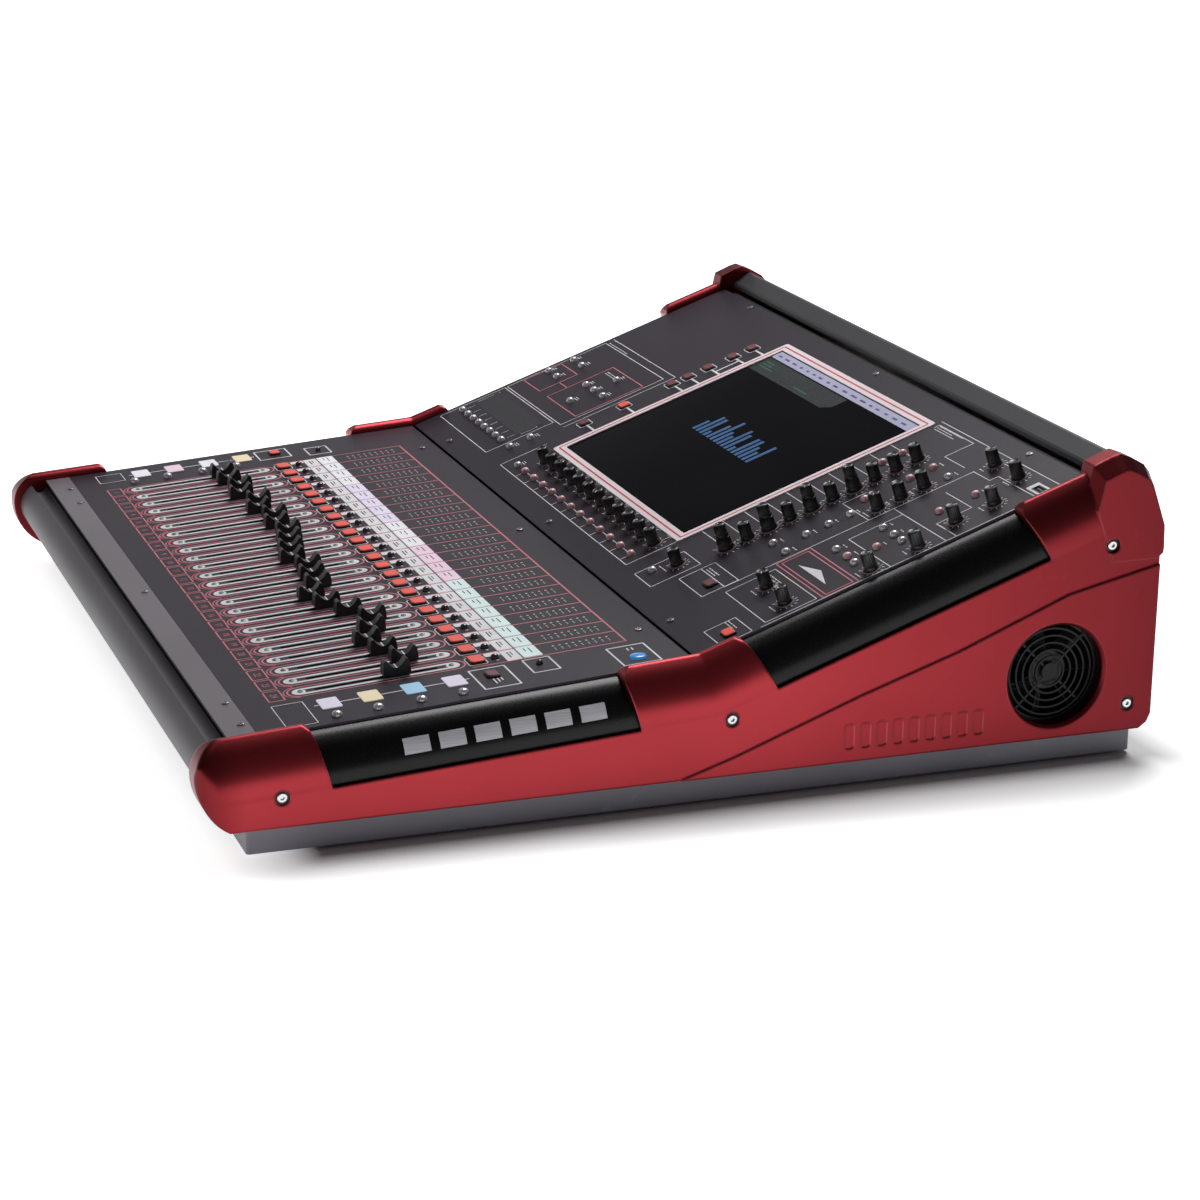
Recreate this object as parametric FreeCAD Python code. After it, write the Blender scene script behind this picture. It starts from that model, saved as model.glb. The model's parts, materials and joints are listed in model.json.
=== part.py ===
import FreeCAD, Part
import math
import os

V = FreeCAD.Vector

# ---------------------------------------------------------------- driving dimensions (mm)
# +X is the user's right, +Y the rear, +Z up; the origin is on the table under the middle.
# Outlines are drawn about the fold, and ORIGIN_SHIFT_Y then centres the whole length.
ORIGIN_SHIFT_Y = -1.2
WIDTH = 892.0                  # over the two cheeks
HALF = WIDTH / 2
DECK_HALF = 412.5              # half width of the deck panels
CHEEK_IN = 413.0               # inner face of a cheek
CHEEK_WALL_IN = 434.5          # inner face of a cheek's thin lower wall
FOLD_Y = 6.0                   # line where the two decks meet
FOLD_Z = 120.9
FADER_SLOPE = 4.21             # degrees
SCREEN_SLOPE = 19.77
PLATE = 3.0                    # deck plate thickness
GAP = 0.3                      # clearance between separate casings

FADER_V0 = -372.5              # front edge of the fader deck, measured up its slope
FADER_V1 = -2.5
SCREEN_V0 = 0.8
SCREEN_V1 = 376.5
FRONT_STRIP_V0 = -396.5

CHANNELS = 24
PITCH = 28.6
FADER_V = -252.2               # middle of a fader slot
TRAVEL = 100.0
SLOT_LENGTH = TRAVEL + 6.0
SLOT_WIDTH = 3.4
FADER_SCREW_SPACING = 130.4
# where each cap is left, along the slope, from channel 1 to channel 24
CAP_REST = [-229, -229, -224, -230, -219, -226, -217, -222, -218, -224, -230, -236,
            -228, -232, -234, -248, -241, -229, -215, -224, -236, -230, -220, -235]

TRAY_HALF = 434.0
TRAY_FRONT = -383.0
TRAY_REAR = 407.0
TRAY_TOP = 26.6
FOOT_HEIGHT = 3.0
SHEET = 2.0

SCREEN_HALF = 163.0            # dark glass of the display
SCREEN_GLASS_V0 = 90.9
SCREEN_GLASS_V1 = 338.4
BEZEL = 11.0                   # width of the printed frame round the glass

KEY_GAP = 0.4                  # gap between a key and its aperture
KEY_DEPTH = 4.0
MUTE_KEY = (17.0, 14.0, 3.0)   # across, along, height
MUTE_V = -165.4
SELECT_V = -148.9
RED_KEY = (14.0, 11.0, 2.6)

FAN_Y = 325.3
FAN_Z = 83.0
FAN_HOLE_R = 45.0
FAN_BORE_R = 43.0
FAN_FRAME = 92.0
FAN_X0 = 411.0
FAN_X1 = 431.0

REAR_PANEL_Y = 407.5
REAR_PANEL_TOP = 179.0
SOCKET_FLANGE = (26.0, 31.0)
SOCKET_PITCH = 30.0

# control positions on the screen deck: (x, distance up the slope)
KNOB_COLUMN_X = 233.0
KNOB_COLUMN_V0 = 104.7
KNOB_COLUMN_PITCH = 21.8
KNOB_COLUMN_COUNT = 10
SHORT_COLUMN = [(293.0, 231.0), (293.0, 254.5), (293.0, 278.0)]
SIDE_KNOBS = [(313.0, 339.5), (358.0, 339.5), (385.0, 301.0), (385.0, 263.0),
              (400.0, 218.5), (400.0, 172.5), (344.0, 97.0), (388.0, 95.0), (220.0, 61.0)]
ROW_KNOB_V = 63.2
ROW_KNOB_X0 = -147.5
ROW_PITCH = 27.5
DOME_ROW_V = 39.8
PINK_DOMES = [(205, 299), (205, 278), (263, 302), (263, 278), (263, 232), (353, 299), (353, 263),
              (365, 195), (357, 170)]
WHITE_DOMES = [(295, 301), (280, 209), (280, 187.5), (280, 165), (267, 137.5), (295, 137.5),
               (335, 216), (357, 216), (375, 215), (335, 169.5), (375, 168.5), (210, 39.8),
               (-395, 185.5), (-368, 185.5), (-395, 155.5), (-368, 155.5), (-282, 194),
               (-307, 167.5), (-282, 167.5), (-255, 167.5), (-282, 139.5),
               (-230, 51.5), (-230, 75), (-171, 39.8)]
LEFT_DOME_ROW_X0 = -392.0
LEFT_DOME_ROW_V = 51.5
LEFT_DOME_PITCH = 19.0
SCREEN_RED_KEYS = [(-205, 321.4), (-205, 299), (-205, 270.5), (-205, 247), (-205, 228),
                   (-205, 172.5), (-205, 127), (288, 65.3), (395, 37.7)]
# control positions on the fader deck
LABEL_ROWS = [-196.0, -231.6, -268.2, -302.8]
LABEL_X = (367.0, -384.0)
LABEL_KEY_R = 4.0
FADER_RED_KEYS = [(368, -164), (-385, -161)]
FADER_ROUND_KEYS = [(361, -120, 2.8), (386, -41.6, 7.0), (-372, -117, 2.8)]
FADER_ROUND_KEYS += [(397, v - 1.5, LABEL_KEY_R) for v in LABEL_ROWS]
FADER_ROUND_KEYS += [(-358, v - 12.0, LABEL_KEY_R) for v in LABEL_ROWS]

KNOB_R = 6.5
KNOB_HEIGHT = 16.0
SHAFT_R = 3.0
SHAFT_HOLE_R = 3.4
DOME_R = 4.0


# ---------------------------------------------------------------- helpers
def block(x0, x1, y0, y1, z0, z1):
    return Part.makeBox(x1 - x0, y1 - y0, z1 - z0, V(x0, y0, z0))


def disc(x, y, z0, z1, radius):
    return Part.makeCylinder(radius, z1 - z0, V(x, y, z0))


def x_disc(x0, x1, y, z, radius):
    return Part.makeCylinder(radius, x1 - x0, V(x0, y, z), V(1, 0, 0))


def y_disc(x, y0, y1, z, radius):
    return Part.makeCylinder(radius, y1 - y0, V(x, y0, z), V(0, 1, 0))


def face_of(edges):
    return Part.Face(Part.Wire(edges))


def prism_x(points, x0, x1):
    """A (y, z) outline drawn out along X."""
    ring = [V(x0, y, z) for y, z in points]
    return Part.Face(Part.makePolygon(ring + ring[:1])).extrude(V(x1 - x0, 0, 0))


def round_ends(shape, radius):
    """Rounds the upright edges of a block."""
    upright = [e for e in shape.Edges if abs(e.tangentAt(e.FirstParameter).z) > 0.99]
    return shape.makeFillet(radius, upright)


def moved(shape, x, y, z=0.0):
    copy = shape.copy()
    copy.translate(V(x, y, z))
    return copy


def on_slope(shape, degrees):
    """Takes a shape modelled flat, with z = 0 at the deck's top face, to a deck."""
    copy = shape.copy()
    copy.rotate(V(0, 0, 0), V(1, 0, 0), degrees)
    copy.translate(V(0, FOLD_Y, FOLD_Z))
    return copy


def mirrored(shape):
    return shape.mirror(V(0, 0, 0), V(1, 0, 0))


def cut_all(shape, tools):
    return shape.cut(Part.makeCompound(tools))


def clean(shape):
    solids = shape.Solids
    if len(solids) == 1:
        return solids[0]
    return Part.makeCompound(solids)


def save(name, shape):
    result = moved(clean(shape), 0, ORIGIN_SHIFT_Y)
    result.exportStep("parts/" + name + ".step")


def channel_x(index):
    return (index - (CHANNELS - 1) / 2) * PITCH


def all_channels():
    return [channel_x(i) for i in range(CHANNELS)]


# ---------------------------------------------------------------- side cheeks and trims
RIDGE_LIP = 2.0                # inner edge of a bumper above the deck
RIDGE_TOP = 7.0                # crest of a bumper above the deck
RIDGE_X = CHEEK_IN + 10.0
ROUND_DROP = 42.0              # height of the quarter-round edge
CREASE_STEP = 1.6              # how far the lower side panel stands out from the rest
SKIN = HALF - CREASE_STEP      # side face above the crease
CREASE_RISE = 1.0               # height of the ledge on top of the lower side panel
TRIM_X = HALF - 5.0            # inside of the shell that the trims sit in
TRIM_TOP = -1.7
NOTCHES = [(-332.4, -70.7, FADER_SLOPE), (41.5, 305.0, SCREEN_SLOPE)]
NOTCH_LEAN = 8.0
NOSE_END = -380.0              # the nose's own edges lie in front of this
NOSE_Z = 80.0
NOSE_EDGE = 20.0
NOSE_RADIUS = 8.0


def round_edge(x_in, x_out, top, bottom):
    """Quarter-round section of a bar, as edges in the plane Y = 0, open at its foot."""
    start = V(x_in, 0, top)
    end = V(x_out, 0, bottom)
    turn = math.cos(math.radians(45))
    middle = V(x_in + (x_out - x_in) * turn, 0, bottom + (top - bottom) * turn)
    return Part.Arc(start, middle, end).toShape()


def section(x_in, x_out, top, bottom, foot_x, foot_z):
    arc = round_edge(x_in, x_out, top, bottom)
    chain = [V(x_out, 0, bottom), V(foot_x, 0, bottom), V(foot_x, 0, foot_z), V(x_in, 0, foot_z),
             V(x_in, 0, top)]
    if foot_x == x_out:
        chain.pop(1)
    sides = [Part.makeLine(a, b) for a, b in zip(chain, chain[1:])]
    return face_of([arc] + sides)


def bumper_section(foot_z):
    """Section of a bumper: a short inner rise to a crest, then the quarter round."""
    turn = math.cos(math.radians(45))
    lip = V(CHEEK_IN, 0, RIDGE_LIP)
    crest = V(RIDGE_X, 0, RIDGE_TOP)
    rise = V(RIDGE_X - (RIDGE_X - CHEEK_IN) * turn, 0, RIDGE_LIP + (RIDGE_TOP - RIDGE_LIP) * turn)
    inner_arc = Part.Arc(lip, rise, crest).toShape()
    chain = [V(SKIN, 0, -ROUND_DROP), V(SKIN, 0, foot_z), V(CHEEK_IN, 0, foot_z), lip]
    sides = [Part.makeLine(a, b) for a, b in zip(chain, chain[1:])]
    return face_of([inner_arc, round_edge(RIDGE_X, SKIN, RIDGE_TOP, -ROUND_DROP)] + sides)


def follow_decks(profile, v0, v1):
    """Draws a section along both decks and mitres it where they meet."""
    overlap = 90.0
    mitre = (FADER_SLOPE + SCREEN_SLOPE) / 2
    reach = 900.0
    front_half = on_slope(block(0, reach, -reach, 0, -reach, reach), mitre)
    back_half = on_slope(block(0, reach, 0, reach, -reach, reach), mitre)
    front = profile.copy()
    front.translate(V(0, v0, 0))
    front = on_slope(front.extrude(V(0, overlap - v0, 0)), FADER_SLOPE).common(front_half)
    back = profile.copy()
    back.translate(V(0, -overlap, 0))
    back = on_slope(back.extrude(V(0, v1 + overlap, 0)), SCREEN_SLOPE).common(back_half)
    return front.fuse(back).removeSplitter()


def side_block(x0, x1):
    """Everything inside a cheek's side outline, with its rounded nose, between two X."""
    def at(y, z):
        return V(x0, y, z)
    under_nose = Part.Arc(at(-398, TRAY_TOP), at(-416.3, 44.9), at(-423, 70)).toShape()
    over_nose = Part.Arc(at(-423, 70), at(-413.1, 92.1), at(-390, 99.5)).toShape()
    chain = [(-390, 99.5), (-390, 340), (385, 340), (385, 236), (412, 200), (419, 187), (419, 40),
             (415.5, 32), (408, TRAY_TOP), (-398, TRAY_TOP)]
    sides = [Part.makeLine(at(*a), at(*b)) for a, b in zip(chain, chain[1:])]
    return face_of([under_nose, over_nose] + sides).extrude(V(x1 - x0, 0, 0))


def hump_outline():
    return [(350, 232), (357, 263), (373.5, 269.8), (381, 272), (392, 268), (404.6, 260.9),
            (410, 254.3), (425.1, 213.3), (426, 191), (425.5, 185.5), (419, 180), (370, 180)]


def hump():
    """Raised rear corner block with a sloping outer shoulder."""
    shoulder_x = 432.0
    centre_y, centre_z = 395.0, 180.0
    shrink_y, shrink_z = 0.86, 0.88
    inner = prism_x(hump_outline(), CHEEK_IN, shoulder_x)
    wide = [V(shoulder_x, y, z) for y, z in hump_outline()]
    narrow = [V(HALF, centre_y + (y - centre_y) * shrink_y, centre_z + (z - centre_z) * shrink_z)
              for y, z in hump_outline()]
    loops = [Part.makePolygon(ring + ring[:1]) for ring in (wide, narrow)]
    return inner.fuse(Part.makeLoft(loops, True, True))


def notch(v0, v1, slope):
    """Space above the cheek's side wall between two raised bumpers."""
    high = RIDGE_TOP + 8
    soft = 7.0
    points = [(v0 + NOTCH_LEAN, -ROUND_DROP), (v0, -2), (v0 - soft * 0.3, RIDGE_TOP - 4),
              (v0 - soft, RIDGE_TOP), (v0 - soft * 3, RIDGE_TOP + 1), (v0 - soft * 3, high),
              (v1 + soft * 3, high), (v1 + soft * 3, RIDGE_TOP + 1), (v1 + soft, RIDGE_TOP),
              (v1 + soft * 0.3, RIDGE_TOP - 4), (v1, -2), (v1 + NOTCH_LEAN, -ROUND_DROP)]
    return on_slope(prism_x(points, CHEEK_IN - 5, HALF + 5), slope)


def rounded_plan():
    """Plan of a cheek with its front outer corner rounded."""
    radius = 22.0
    front, rear, inner = -440.0, 440.0, CHEEK_IN - 1
    corner_y = -424.0
    turn = radius * (1 - math.cos(math.radians(45)))
    arc = Part.Arc(V(HALF - radius, corner_y, 0), V(HALF - turn, corner_y + turn, 0),
                   V(HALF, corner_y + radius, 0)).toShape()
    chain = [V(HALF, corner_y + radius, 0), V(HALF, rear, 0), V(inner, rear, 0), V(inner, front, 0),
             V(HALF - radius, front, 0), V(HALF - radius, corner_y, 0)]
    sides = [Part.makeLine(a, b) for a, b in zip(chain, chain[1:])]
    return face_of([arc] + sides).extrude(V(0, 0, 400))


# y, z and the side face that each screw sits in
CHEEK_SCREWS = [(-355.4, 51.8, SKIN), (26.8, 75.4, SKIN), (372.9, 194.8, SKIN), (395.5, 50.9, HALF)]
SCREW_WELL_R = 6.4
SCREW_WELL_DEPTH = 2.2
SCREW_TIP_X = HALF - 4.5
CREASE = [(-20, 26.6), (29, 42.2), (141, 83.7), (232, 114.1), (333.5, 154.9), (414, 173.3)]


def lower_panel():
    """Side panel under the crease, standing out by CREASE_STEP with a narrow sloping ledge."""
    overrun = 30.0
    face_line = [(-120, -5.2)] + CREASE + [(440, 179.2), (440, -5.2)]
    loops = []
    for x, rise in ((HALF, 0.0), (SKIN - CREASE_STEP, CREASE_RISE)):
        ring = [V(x, y, z + rise) for y, z in face_line[:-1]]
        ring += [V(x, 440, -overrun), V(x, -120, -overrun)]
        loops.append(Part.makePolygon(ring + ring[:1]))
    return Part.makeLoft(loops, True, True).common(side_block(SKIN - CREASE_STEP, HALF))


def side_flutes():
    """Plain shallow flutes pressed into the lower side panel."""
    first_y, pitch, width, depth = 128.0, 15.0, 9.0, 1.0
    flutes = []
    for i in range(9):
        y = first_y + i * pitch
        flute = block(HALF - depth, HALF + 1, y, y + width, 38, 60)
        flat = [e for e in flute.Edges if abs(e.tangentAt(e.FirstParameter).x) > 0.99]
        flutes.append(flute.makeFillet(3.0, flat))
    return flutes


def soften_nose(casting):
    """Rounds the two long edges where the quarter round runs into the nose and the corner."""
    solid = casting.Solids[0]
    edges = []
    for edge in solid.Edges:
        box = edge.BoundBox
        outside = box.XMin > CHEEK_IN and box.YMax < NOSE_END
        if outside and box.ZMax > NOSE_Z and edge.Length > NOSE_EDGE:
            edges.append(edge)
    return solid.makeFillet(NOSE_RADIUS, edges)


def make_right_cheek():
    cavity = section(CHEEK_IN, TRIM_X, TRIM_TOP, -ROUND_DROP, CHEEK_WALL_IN, -300)
    cheek = follow_decks(bumper_section(-300), -440, 520)
    cheek = soften_nose(cheek.common(side_block(CHEEK_IN, HALF)).common(rounded_plan()))
    cheek = cheek.fuse(hump()).fuse(lower_panel())
    hollow = follow_decks(cavity, -386, 368)
    cheek = cheek.cut(hollow)
    cheek = cut_all(cheek, [notch(*n) for n in NOTCHES])
    fan_hole = x_disc(CHEEK_WALL_IN - 2, HALF + 2, FAN_Y, FAN_Z, FAN_HOLE_R)
    mouth = Part.makeCone(FAN_HOLE_R, FAN_HOLE_R + 3, 3, V(HALF - 2.9, FAN_Y, FAN_Z), V(1, 0, 0))
    wells = [x_disc(skin - SCREW_WELL_DEPTH, HALF + 1, y, z, SCREW_WELL_R) for y, z, skin in CHEEK_SCREWS]
    shanks = [x_disc(SCREW_TIP_X - 0.2, HALF, y, z, 2.6) for y, z, skin in CHEEK_SCREWS]
    cheek = cut_all(cheek, [fan_hole, mouth] + side_flutes())
    return cut_all(cheek, wells + shanks)


def make_right_trim():
    outer_x = TRIM_X - GAP
    profile = section(CHEEK_IN + GAP, outer_x, TRIM_TOP - 2 * GAP, -ROUND_DROP + GAP, outer_x,
                      -ROUND_DROP + GAP / 2)
    return follow_decks(profile, -384, 366)


def make_cheek_screws():
    head_r, socket_r = 4.5, 2.1
    screws = []
    for y, z, skin in CHEEK_SCREWS:
        seat = skin - SCREW_WELL_DEPTH
        head = x_disc(seat, skin - 0.1, y, z, head_r)
        head = head.makeFillet(1.3, [head.Edges[0]])
        socket = prism_x([(y + socket_r * math.cos(math.radians(60 * i)),
                           z + socket_r * math.sin(math.radians(60 * i))) for i in range(6)],
                         seat + 0.4, HALF + 1)
        shank = x_disc(SCREW_TIP_X, seat, y, z, 2.5)
        screws.append(head.cut(socket).fuse(shank))
    return Part.makeCompound(screws + [mirrored(s) for s in screws])


# ---------------------------------------------------------------- tray, chassis and fixed casings
def make_base_tray():
    z0 = FOOT_HEIGHT
    tray = block(-TRAY_HALF, TRAY_HALF, TRAY_FRONT, TRAY_REAR, z0, TRAY_TOP - GAP)
    tray = round_ends(tray, 3.0)
    return tray.cut(block(-TRAY_HALF + SHEET, TRAY_HALF - SHEET, TRAY_FRONT + SHEET,
                          TRAY_REAR - SHEET, z0 + SHEET, TRAY_TOP + 5))


def make_feet():
    foot = Part.makeCone(12, 13, FOOT_HEIGHT)
    spots = [(x, y) for x in (-390, 0, 390) for y in (-345, 370)]
    return Part.makeCompound([moved(foot, x, y) for x, y in spots])


SIDE_PLATE_X = 408.5
DECK_UNDER = -PLATE


def deck_height(y, slope, drop):
    """Height of the plane `drop` below a deck's top face at a given y."""
    angle = math.radians(slope)
    return FOLD_Z + (y - FOLD_Y) * math.tan(angle) + drop / math.cos(angle)


def side_plate():
    y_front, y_rear = -380.0, 405.0
    low = FOOT_HEIGHT + SHEET
    top_rear = 357.0
    outline = [(y_front, low), (y_front, deck_height(y_front, FADER_SLOPE, DECK_UNDER)),
               (FOLD_Y, deck_height(FOLD_Y, FADER_SLOPE, DECK_UNDER) - 0.5),
               (top_rear, deck_height(top_rear, SCREEN_SLOPE, DECK_UNDER) - 0.5),
               (y_rear, 176.0), (y_rear, low)]
    plate = prism_x(outline, SIDE_PLATE_X, SIDE_PLATE_X + SHEET)
    return plate.cut(x_disc(SIDE_PLATE_X - 5, SIDE_PLATE_X + 5, FAN_Y, FAN_Z, FAN_BORE_R))


def make_inner_chassis():
    plate = side_plate()
    reach = SIDE_PLATE_X
    front_beam = on_slope(block(-reach, reach, -350, -338, -18, -PLATE), FADER_SLOPE)
    fold_beam = on_slope(block(-reach, reach, -22, -10, -30, -PLATE), FADER_SLOPE)
    gutter = block(-reach, reach, 352, 386, -24, -7).fuse(block(-reach, reach, 352, 364, -7, -PLATE))
    rear_beam = on_slope(gutter.removeSplitter(), SCREEN_SLOPE)
    return Part.makeCompound([plate, mirrored(plate), front_beam, fold_beam, rear_beam])


def make_front_rail():
    strip = block(-DECK_HALF, DECK_HALF, FRONT_STRIP_V0, FADER_V0 - GAP, -PLATE, 0)
    holes = [disc(x, FRONT_SCREW_V, -10, 10, SCREW_HOLE_R) for x in FRONT_SCREW_X]
    return on_slope(cut_all(strip, holes), FADER_SLOPE)


def make_palm_rest():
    """Rounded front roll with a channel behind it."""
    centre_y, centre_z, radius = -392.5, 67.0, 24.0
    back_y = -386.5
    shelf_z = 84.0
    lip_y, lip_z = -390.0, 86.5

    def at(degrees):
        angle = math.radians(degrees)
        return V(-DECK_HALF, centre_y - radius * math.sin(angle), centre_z + radius * math.cos(angle))

    first, last = 30.0, 140.0
    arc = Part.Arc(at(first), at(75), at(last)).toShape()
    toe = V(-DECK_HALF, -398, 31)
    lip = V(-DECK_HALF, lip_y, lip_z)
    chain = [at(last), toe, V(-DECK_HALF, back_y, 28), V(-DECK_HALF, back_y, shelf_z),
             V(-DECK_HALF, lip_y, shelf_z), lip]
    channel = Part.Arc(lip, V(-DECK_HALF, -397.0, 80.2), at(first)).toShape()
    sides = [Part.makeLine(a, b) for a, b in zip(chain, chain[1:])]
    return face_of([arc] + sides + [channel]).extrude(V(2 * DECK_HALF, 0, 0))


def make_rear_bar():
    """Raised hood across the back, open below."""
    outer = [(371.8, 249), (371.8, 253.6), (373.2, 255.4), (388, 264.6), (391, 265), (401, 258.6),
             (406.5, 250.5), (418.5, 212), (419, 192), (415, 182)]
    inner = [(411.5, 183.5), (414.5, 193), (414.2, 211), (402.8, 248), (398.5, 254.3), (390.4, 260.4),
             (388.6, 260.2), (376, 252.2), (375.8, 249)]
    return prism_x(outer + inner, -DECK_HALF, DECK_HALF)


# ---------------------------------------------------------------- deck panels
SCREW_HOLE_R = 1.7
FRONT_SCREW_V = -379.5
FRONT_SCREW_X = [379, 325, 3, -313, -367]
DECK_SCREW_X = [-322, 0, 322]
FADER_DECK_SCREW_V = -17.5
SCREEN_DECK_SCREW_V = (12.5, 369.5)


def key_block(size, x, v, grow=0.0, low=-KEY_DEPTH, high=None):
    across, along, height = size
    top = height if high is None else high
    return round_ends(block(x - across / 2 - grow, x + across / 2 + grow,
                            v - along / 2 - grow, v + along / 2 + grow, low, top), 1.6)


def fader_screw_spots():
    half = FADER_SCREW_SPACING / 2
    return [(x, FADER_V + side * half) for x in all_channels() for side in (-1, 1)]


def make_fader_panel():
    panel = block(-DECK_HALF, DECK_HALF, FADER_V0, FADER_V1, -PLATE, 0)
    half = SLOT_LENGTH / 2
    holes = []
    for x in all_channels():
        holes.append(block(x - SLOT_WIDTH / 2, x + SLOT_WIDTH / 2, FADER_V - half, FADER_V + half, -9, 9))
        holes.append(key_block(MUTE_KEY, x, MUTE_V, KEY_GAP, -9, 9))
        holes.append(disc(x, SELECT_V, -9, 9, 3.5 + KEY_GAP))
    for x, v in FADER_RED_KEYS:
        holes.append(key_block(RED_KEY, x, v, KEY_GAP, -9, 9))
    for x, v, radius in FADER_ROUND_KEYS:
        holes.append(disc(x, v, -9, 9, radius + KEY_GAP))
    for x, v in fader_screw_spots():
        holes.append(disc(x, v, -9, 9, 1.4))
    for x in DECK_SCREW_X:
        holes.append(disc(x, FADER_DECK_SCREW_V, -9, 9, SCREW_HOLE_R))
    return on_slope(cut_all(panel, holes), FADER_SLOPE)


def knob_column():
    spots = [(KNOB_COLUMN_X, KNOB_COLUMN_V0 + i * KNOB_COLUMN_PITCH) for i in range(KNOB_COLUMN_COUNT)]
    return spots


def double_knob_spots():
    return knob_column()[0:7:2]


def single_knob_spots():
    column = [s for s in knob_column() if s not in double_knob_spots()]
    row = [(ROW_KNOB_X0 + i * ROW_PITCH, ROW_KNOB_V) for i in range(12)]
    return column + SHORT_COLUMN + SIDE_KNOBS + row


def dome_spots():
    row = [(ROW_KNOB_X0 + i * ROW_PITCH, DOME_ROW_V) for i in range(12)]
    left = [(LEFT_DOME_ROW_X0 + i * LEFT_DOME_PITCH, LEFT_DOME_ROW_V) for i in range(8)]
    return row + left + PINK_DOMES + WHITE_DOMES


USB_SPOT = (396.0, 339.5)


def make_screen_panel():
    panel = block(-DECK_HALF, DECK_HALF, SCREEN_V0, SCREEN_V1, -PLATE, 0)
    edge = SCREEN_HALF + 0.5
    window = block(-edge, edge, SCREEN_GLASS_V0 - 0.5, SCREEN_GLASS_V1 + 0.5, -9, 9)
    holes = [disc(x, v, -9, 9, SHAFT_HOLE_R) for x, v in double_knob_spots() + single_knob_spots()]
    holes += [disc(x, v, -9, 9, DOME_R + KEY_GAP) for x, v in dome_spots()]
    holes += [key_block(RED_KEY, x, v, KEY_GAP, -9, 9) for x, v in SCREEN_RED_KEYS]
    holes += [disc(x, v, -9, 9, SCREW_HOLE_R) for x in DECK_SCREW_X for v in SCREEN_DECK_SCREW_V]
    ux, uv = USB_SPOT
    holes.append(block(ux - 7, ux + 7, uv - 3.6, uv + 3.6, -9, 9))
    return on_slope(cut_all(panel.cut(window), holes), SCREEN_SLOPE)


def screw(radius, shank_r, length):
    head = Part.makeCylinder(radius, 1.2, V(0, 0, 0))
    head = head.makeFillet(0.5, [head.Edges[0]])
    slot = block(-radius * 0.45, radius * 0.45, -0.35, 0.35, 0.6, 2)
    cross = block(-0.35, 0.35, -radius * 0.45, radius * 0.45, 0.6, 2)
    return head.cut(slot).cut(cross).fuse(Part.makeCylinder(shank_r, length, V(0, 0, -length)))


def make_deck_screws():
    large = screw(3.2, SCREW_HOLE_R - 0.1, 2.6)
    small = screw(2.3, 1.3, 2.6)
    flat = [moved(large, x, FRONT_SCREW_V) for x in FRONT_SCREW_X]
    flat += [moved(large, x, FADER_DECK_SCREW_V) for x in DECK_SCREW_X]
    flat += [moved(small, x, v) for x, v in fader_screw_spots()]
    sloped = [moved(large, x, v) for x in DECK_SCREW_X for v in SCREEN_DECK_SCREW_V]
    return Part.makeCompound([on_slope(s, FADER_SLOPE) for s in flat]
                             + [on_slope(s, SCREEN_SLOPE) for s in sloped])


# ---------------------------------------------------------------- display
def make_display_module():
    glass = block(-SCREEN_HALF, SCREEN_HALF, SCREEN_GLASS_V0, SCREEN_GLASS_V1, -14, -0.4)
    driver = block(-90, 90, 150, 270, -20, -14)
    return on_slope(glass.fuse(driver), SCREEN_SLOPE)


def make_display_bezel():
    edge = SCREEN_HALF + BEZEL
    ring = round_ends(block(-edge, edge, SCREEN_GLASS_V0 - BEZEL, SCREEN_GLASS_V1 + BEZEL, 0, 1.0), 3)
    window = block(-SCREEN_HALF, SCREEN_HALF, SCREEN_GLASS_V0, SCREEN_GLASS_V1, -1, 2)
    return on_slope(ring.cut(window), SCREEN_SLOPE)


def make_channel_displays():
    window = round_ends(block(-13.6, 13.6, -8.5, 8.5, 0, 0.7), 1.0)
    label = round_ends(block(-12, 12, -8.5, 8.5, 0, 0.7), 1.5)
    tiles = [moved(window, x, -118.8) for x in all_channels()]
    tiles += [moved(label, x, v) for x in LABEL_X for v in LABEL_ROWS]
    return on_slope(Part.makeCompound(tiles), FADER_SLOPE)


# ---------------------------------------------------------------- faders and keys
CAP_LENGTH = 24.0
CAP_WIDTH = 11.0
CAP_HEIGHT = 15.0


def fader_cap():
    """Saddle-shaped cap with a horn at each end, on its stem."""
    half = CAP_LENGTH / 2
    low, shoulder, dip = 1.0, 8.8, 8.2
    horn_out, horn_in = half - 1.6, half - 3.4
    x0 = -CAP_WIDTH / 2
    chain = [V(x0, -horn_in, CAP_HEIGHT), V(x0, -horn_out, CAP_HEIGHT - 0.6), V(x0, -half, shoulder),
             V(x0, -half, low), V(x0, half, low), V(x0, half, shoulder),
             V(x0, horn_out, CAP_HEIGHT - 0.6), V(x0, horn_in, CAP_HEIGHT)]
    saddle = Part.Arc(V(x0, horn_in, CAP_HEIGHT), V(x0, 0, dip), V(x0, -horn_in, CAP_HEIGHT)).toShape()
    sides = [Part.makeLine(a, b) for a, b in zip(chain, chain[1:])]
    cap = face_of(sides + [saddle]).extrude(V(CAP_WIDTH, 0, 0))
    cap = round_ends(cap, 1.5)
    stem = block(-1.2, 1.2, -3.0, 3.0, -11.0, low)
    return cap.fuse(stem)


def fader_module():
    half = FADER_SCREW_SPACING / 2 + 4
    body = block(-8, 8, -half, half, -28, -PLATE - 2.2)
    groove = block(-2.4, 2.4, -SLOT_LENGTH / 2 - 3, SLOT_LENGTH / 2 + 3, -13, 0)
    return body.cut(groove)


def make_fader_modules():
    module = fader_module()
    return on_slope(Part.makeCompound([moved(module, x, FADER_V) for x in all_channels()]), FADER_SLOPE)


def make_mute_keys():
    keys = [key_block(MUTE_KEY, x, MUTE_V) for x in all_channels()]
    keys += [key_block(RED_KEY, x, v) for x, v in FADER_RED_KEYS]
    return on_slope(Part.makeCompound(keys), FADER_SLOPE)


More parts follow.
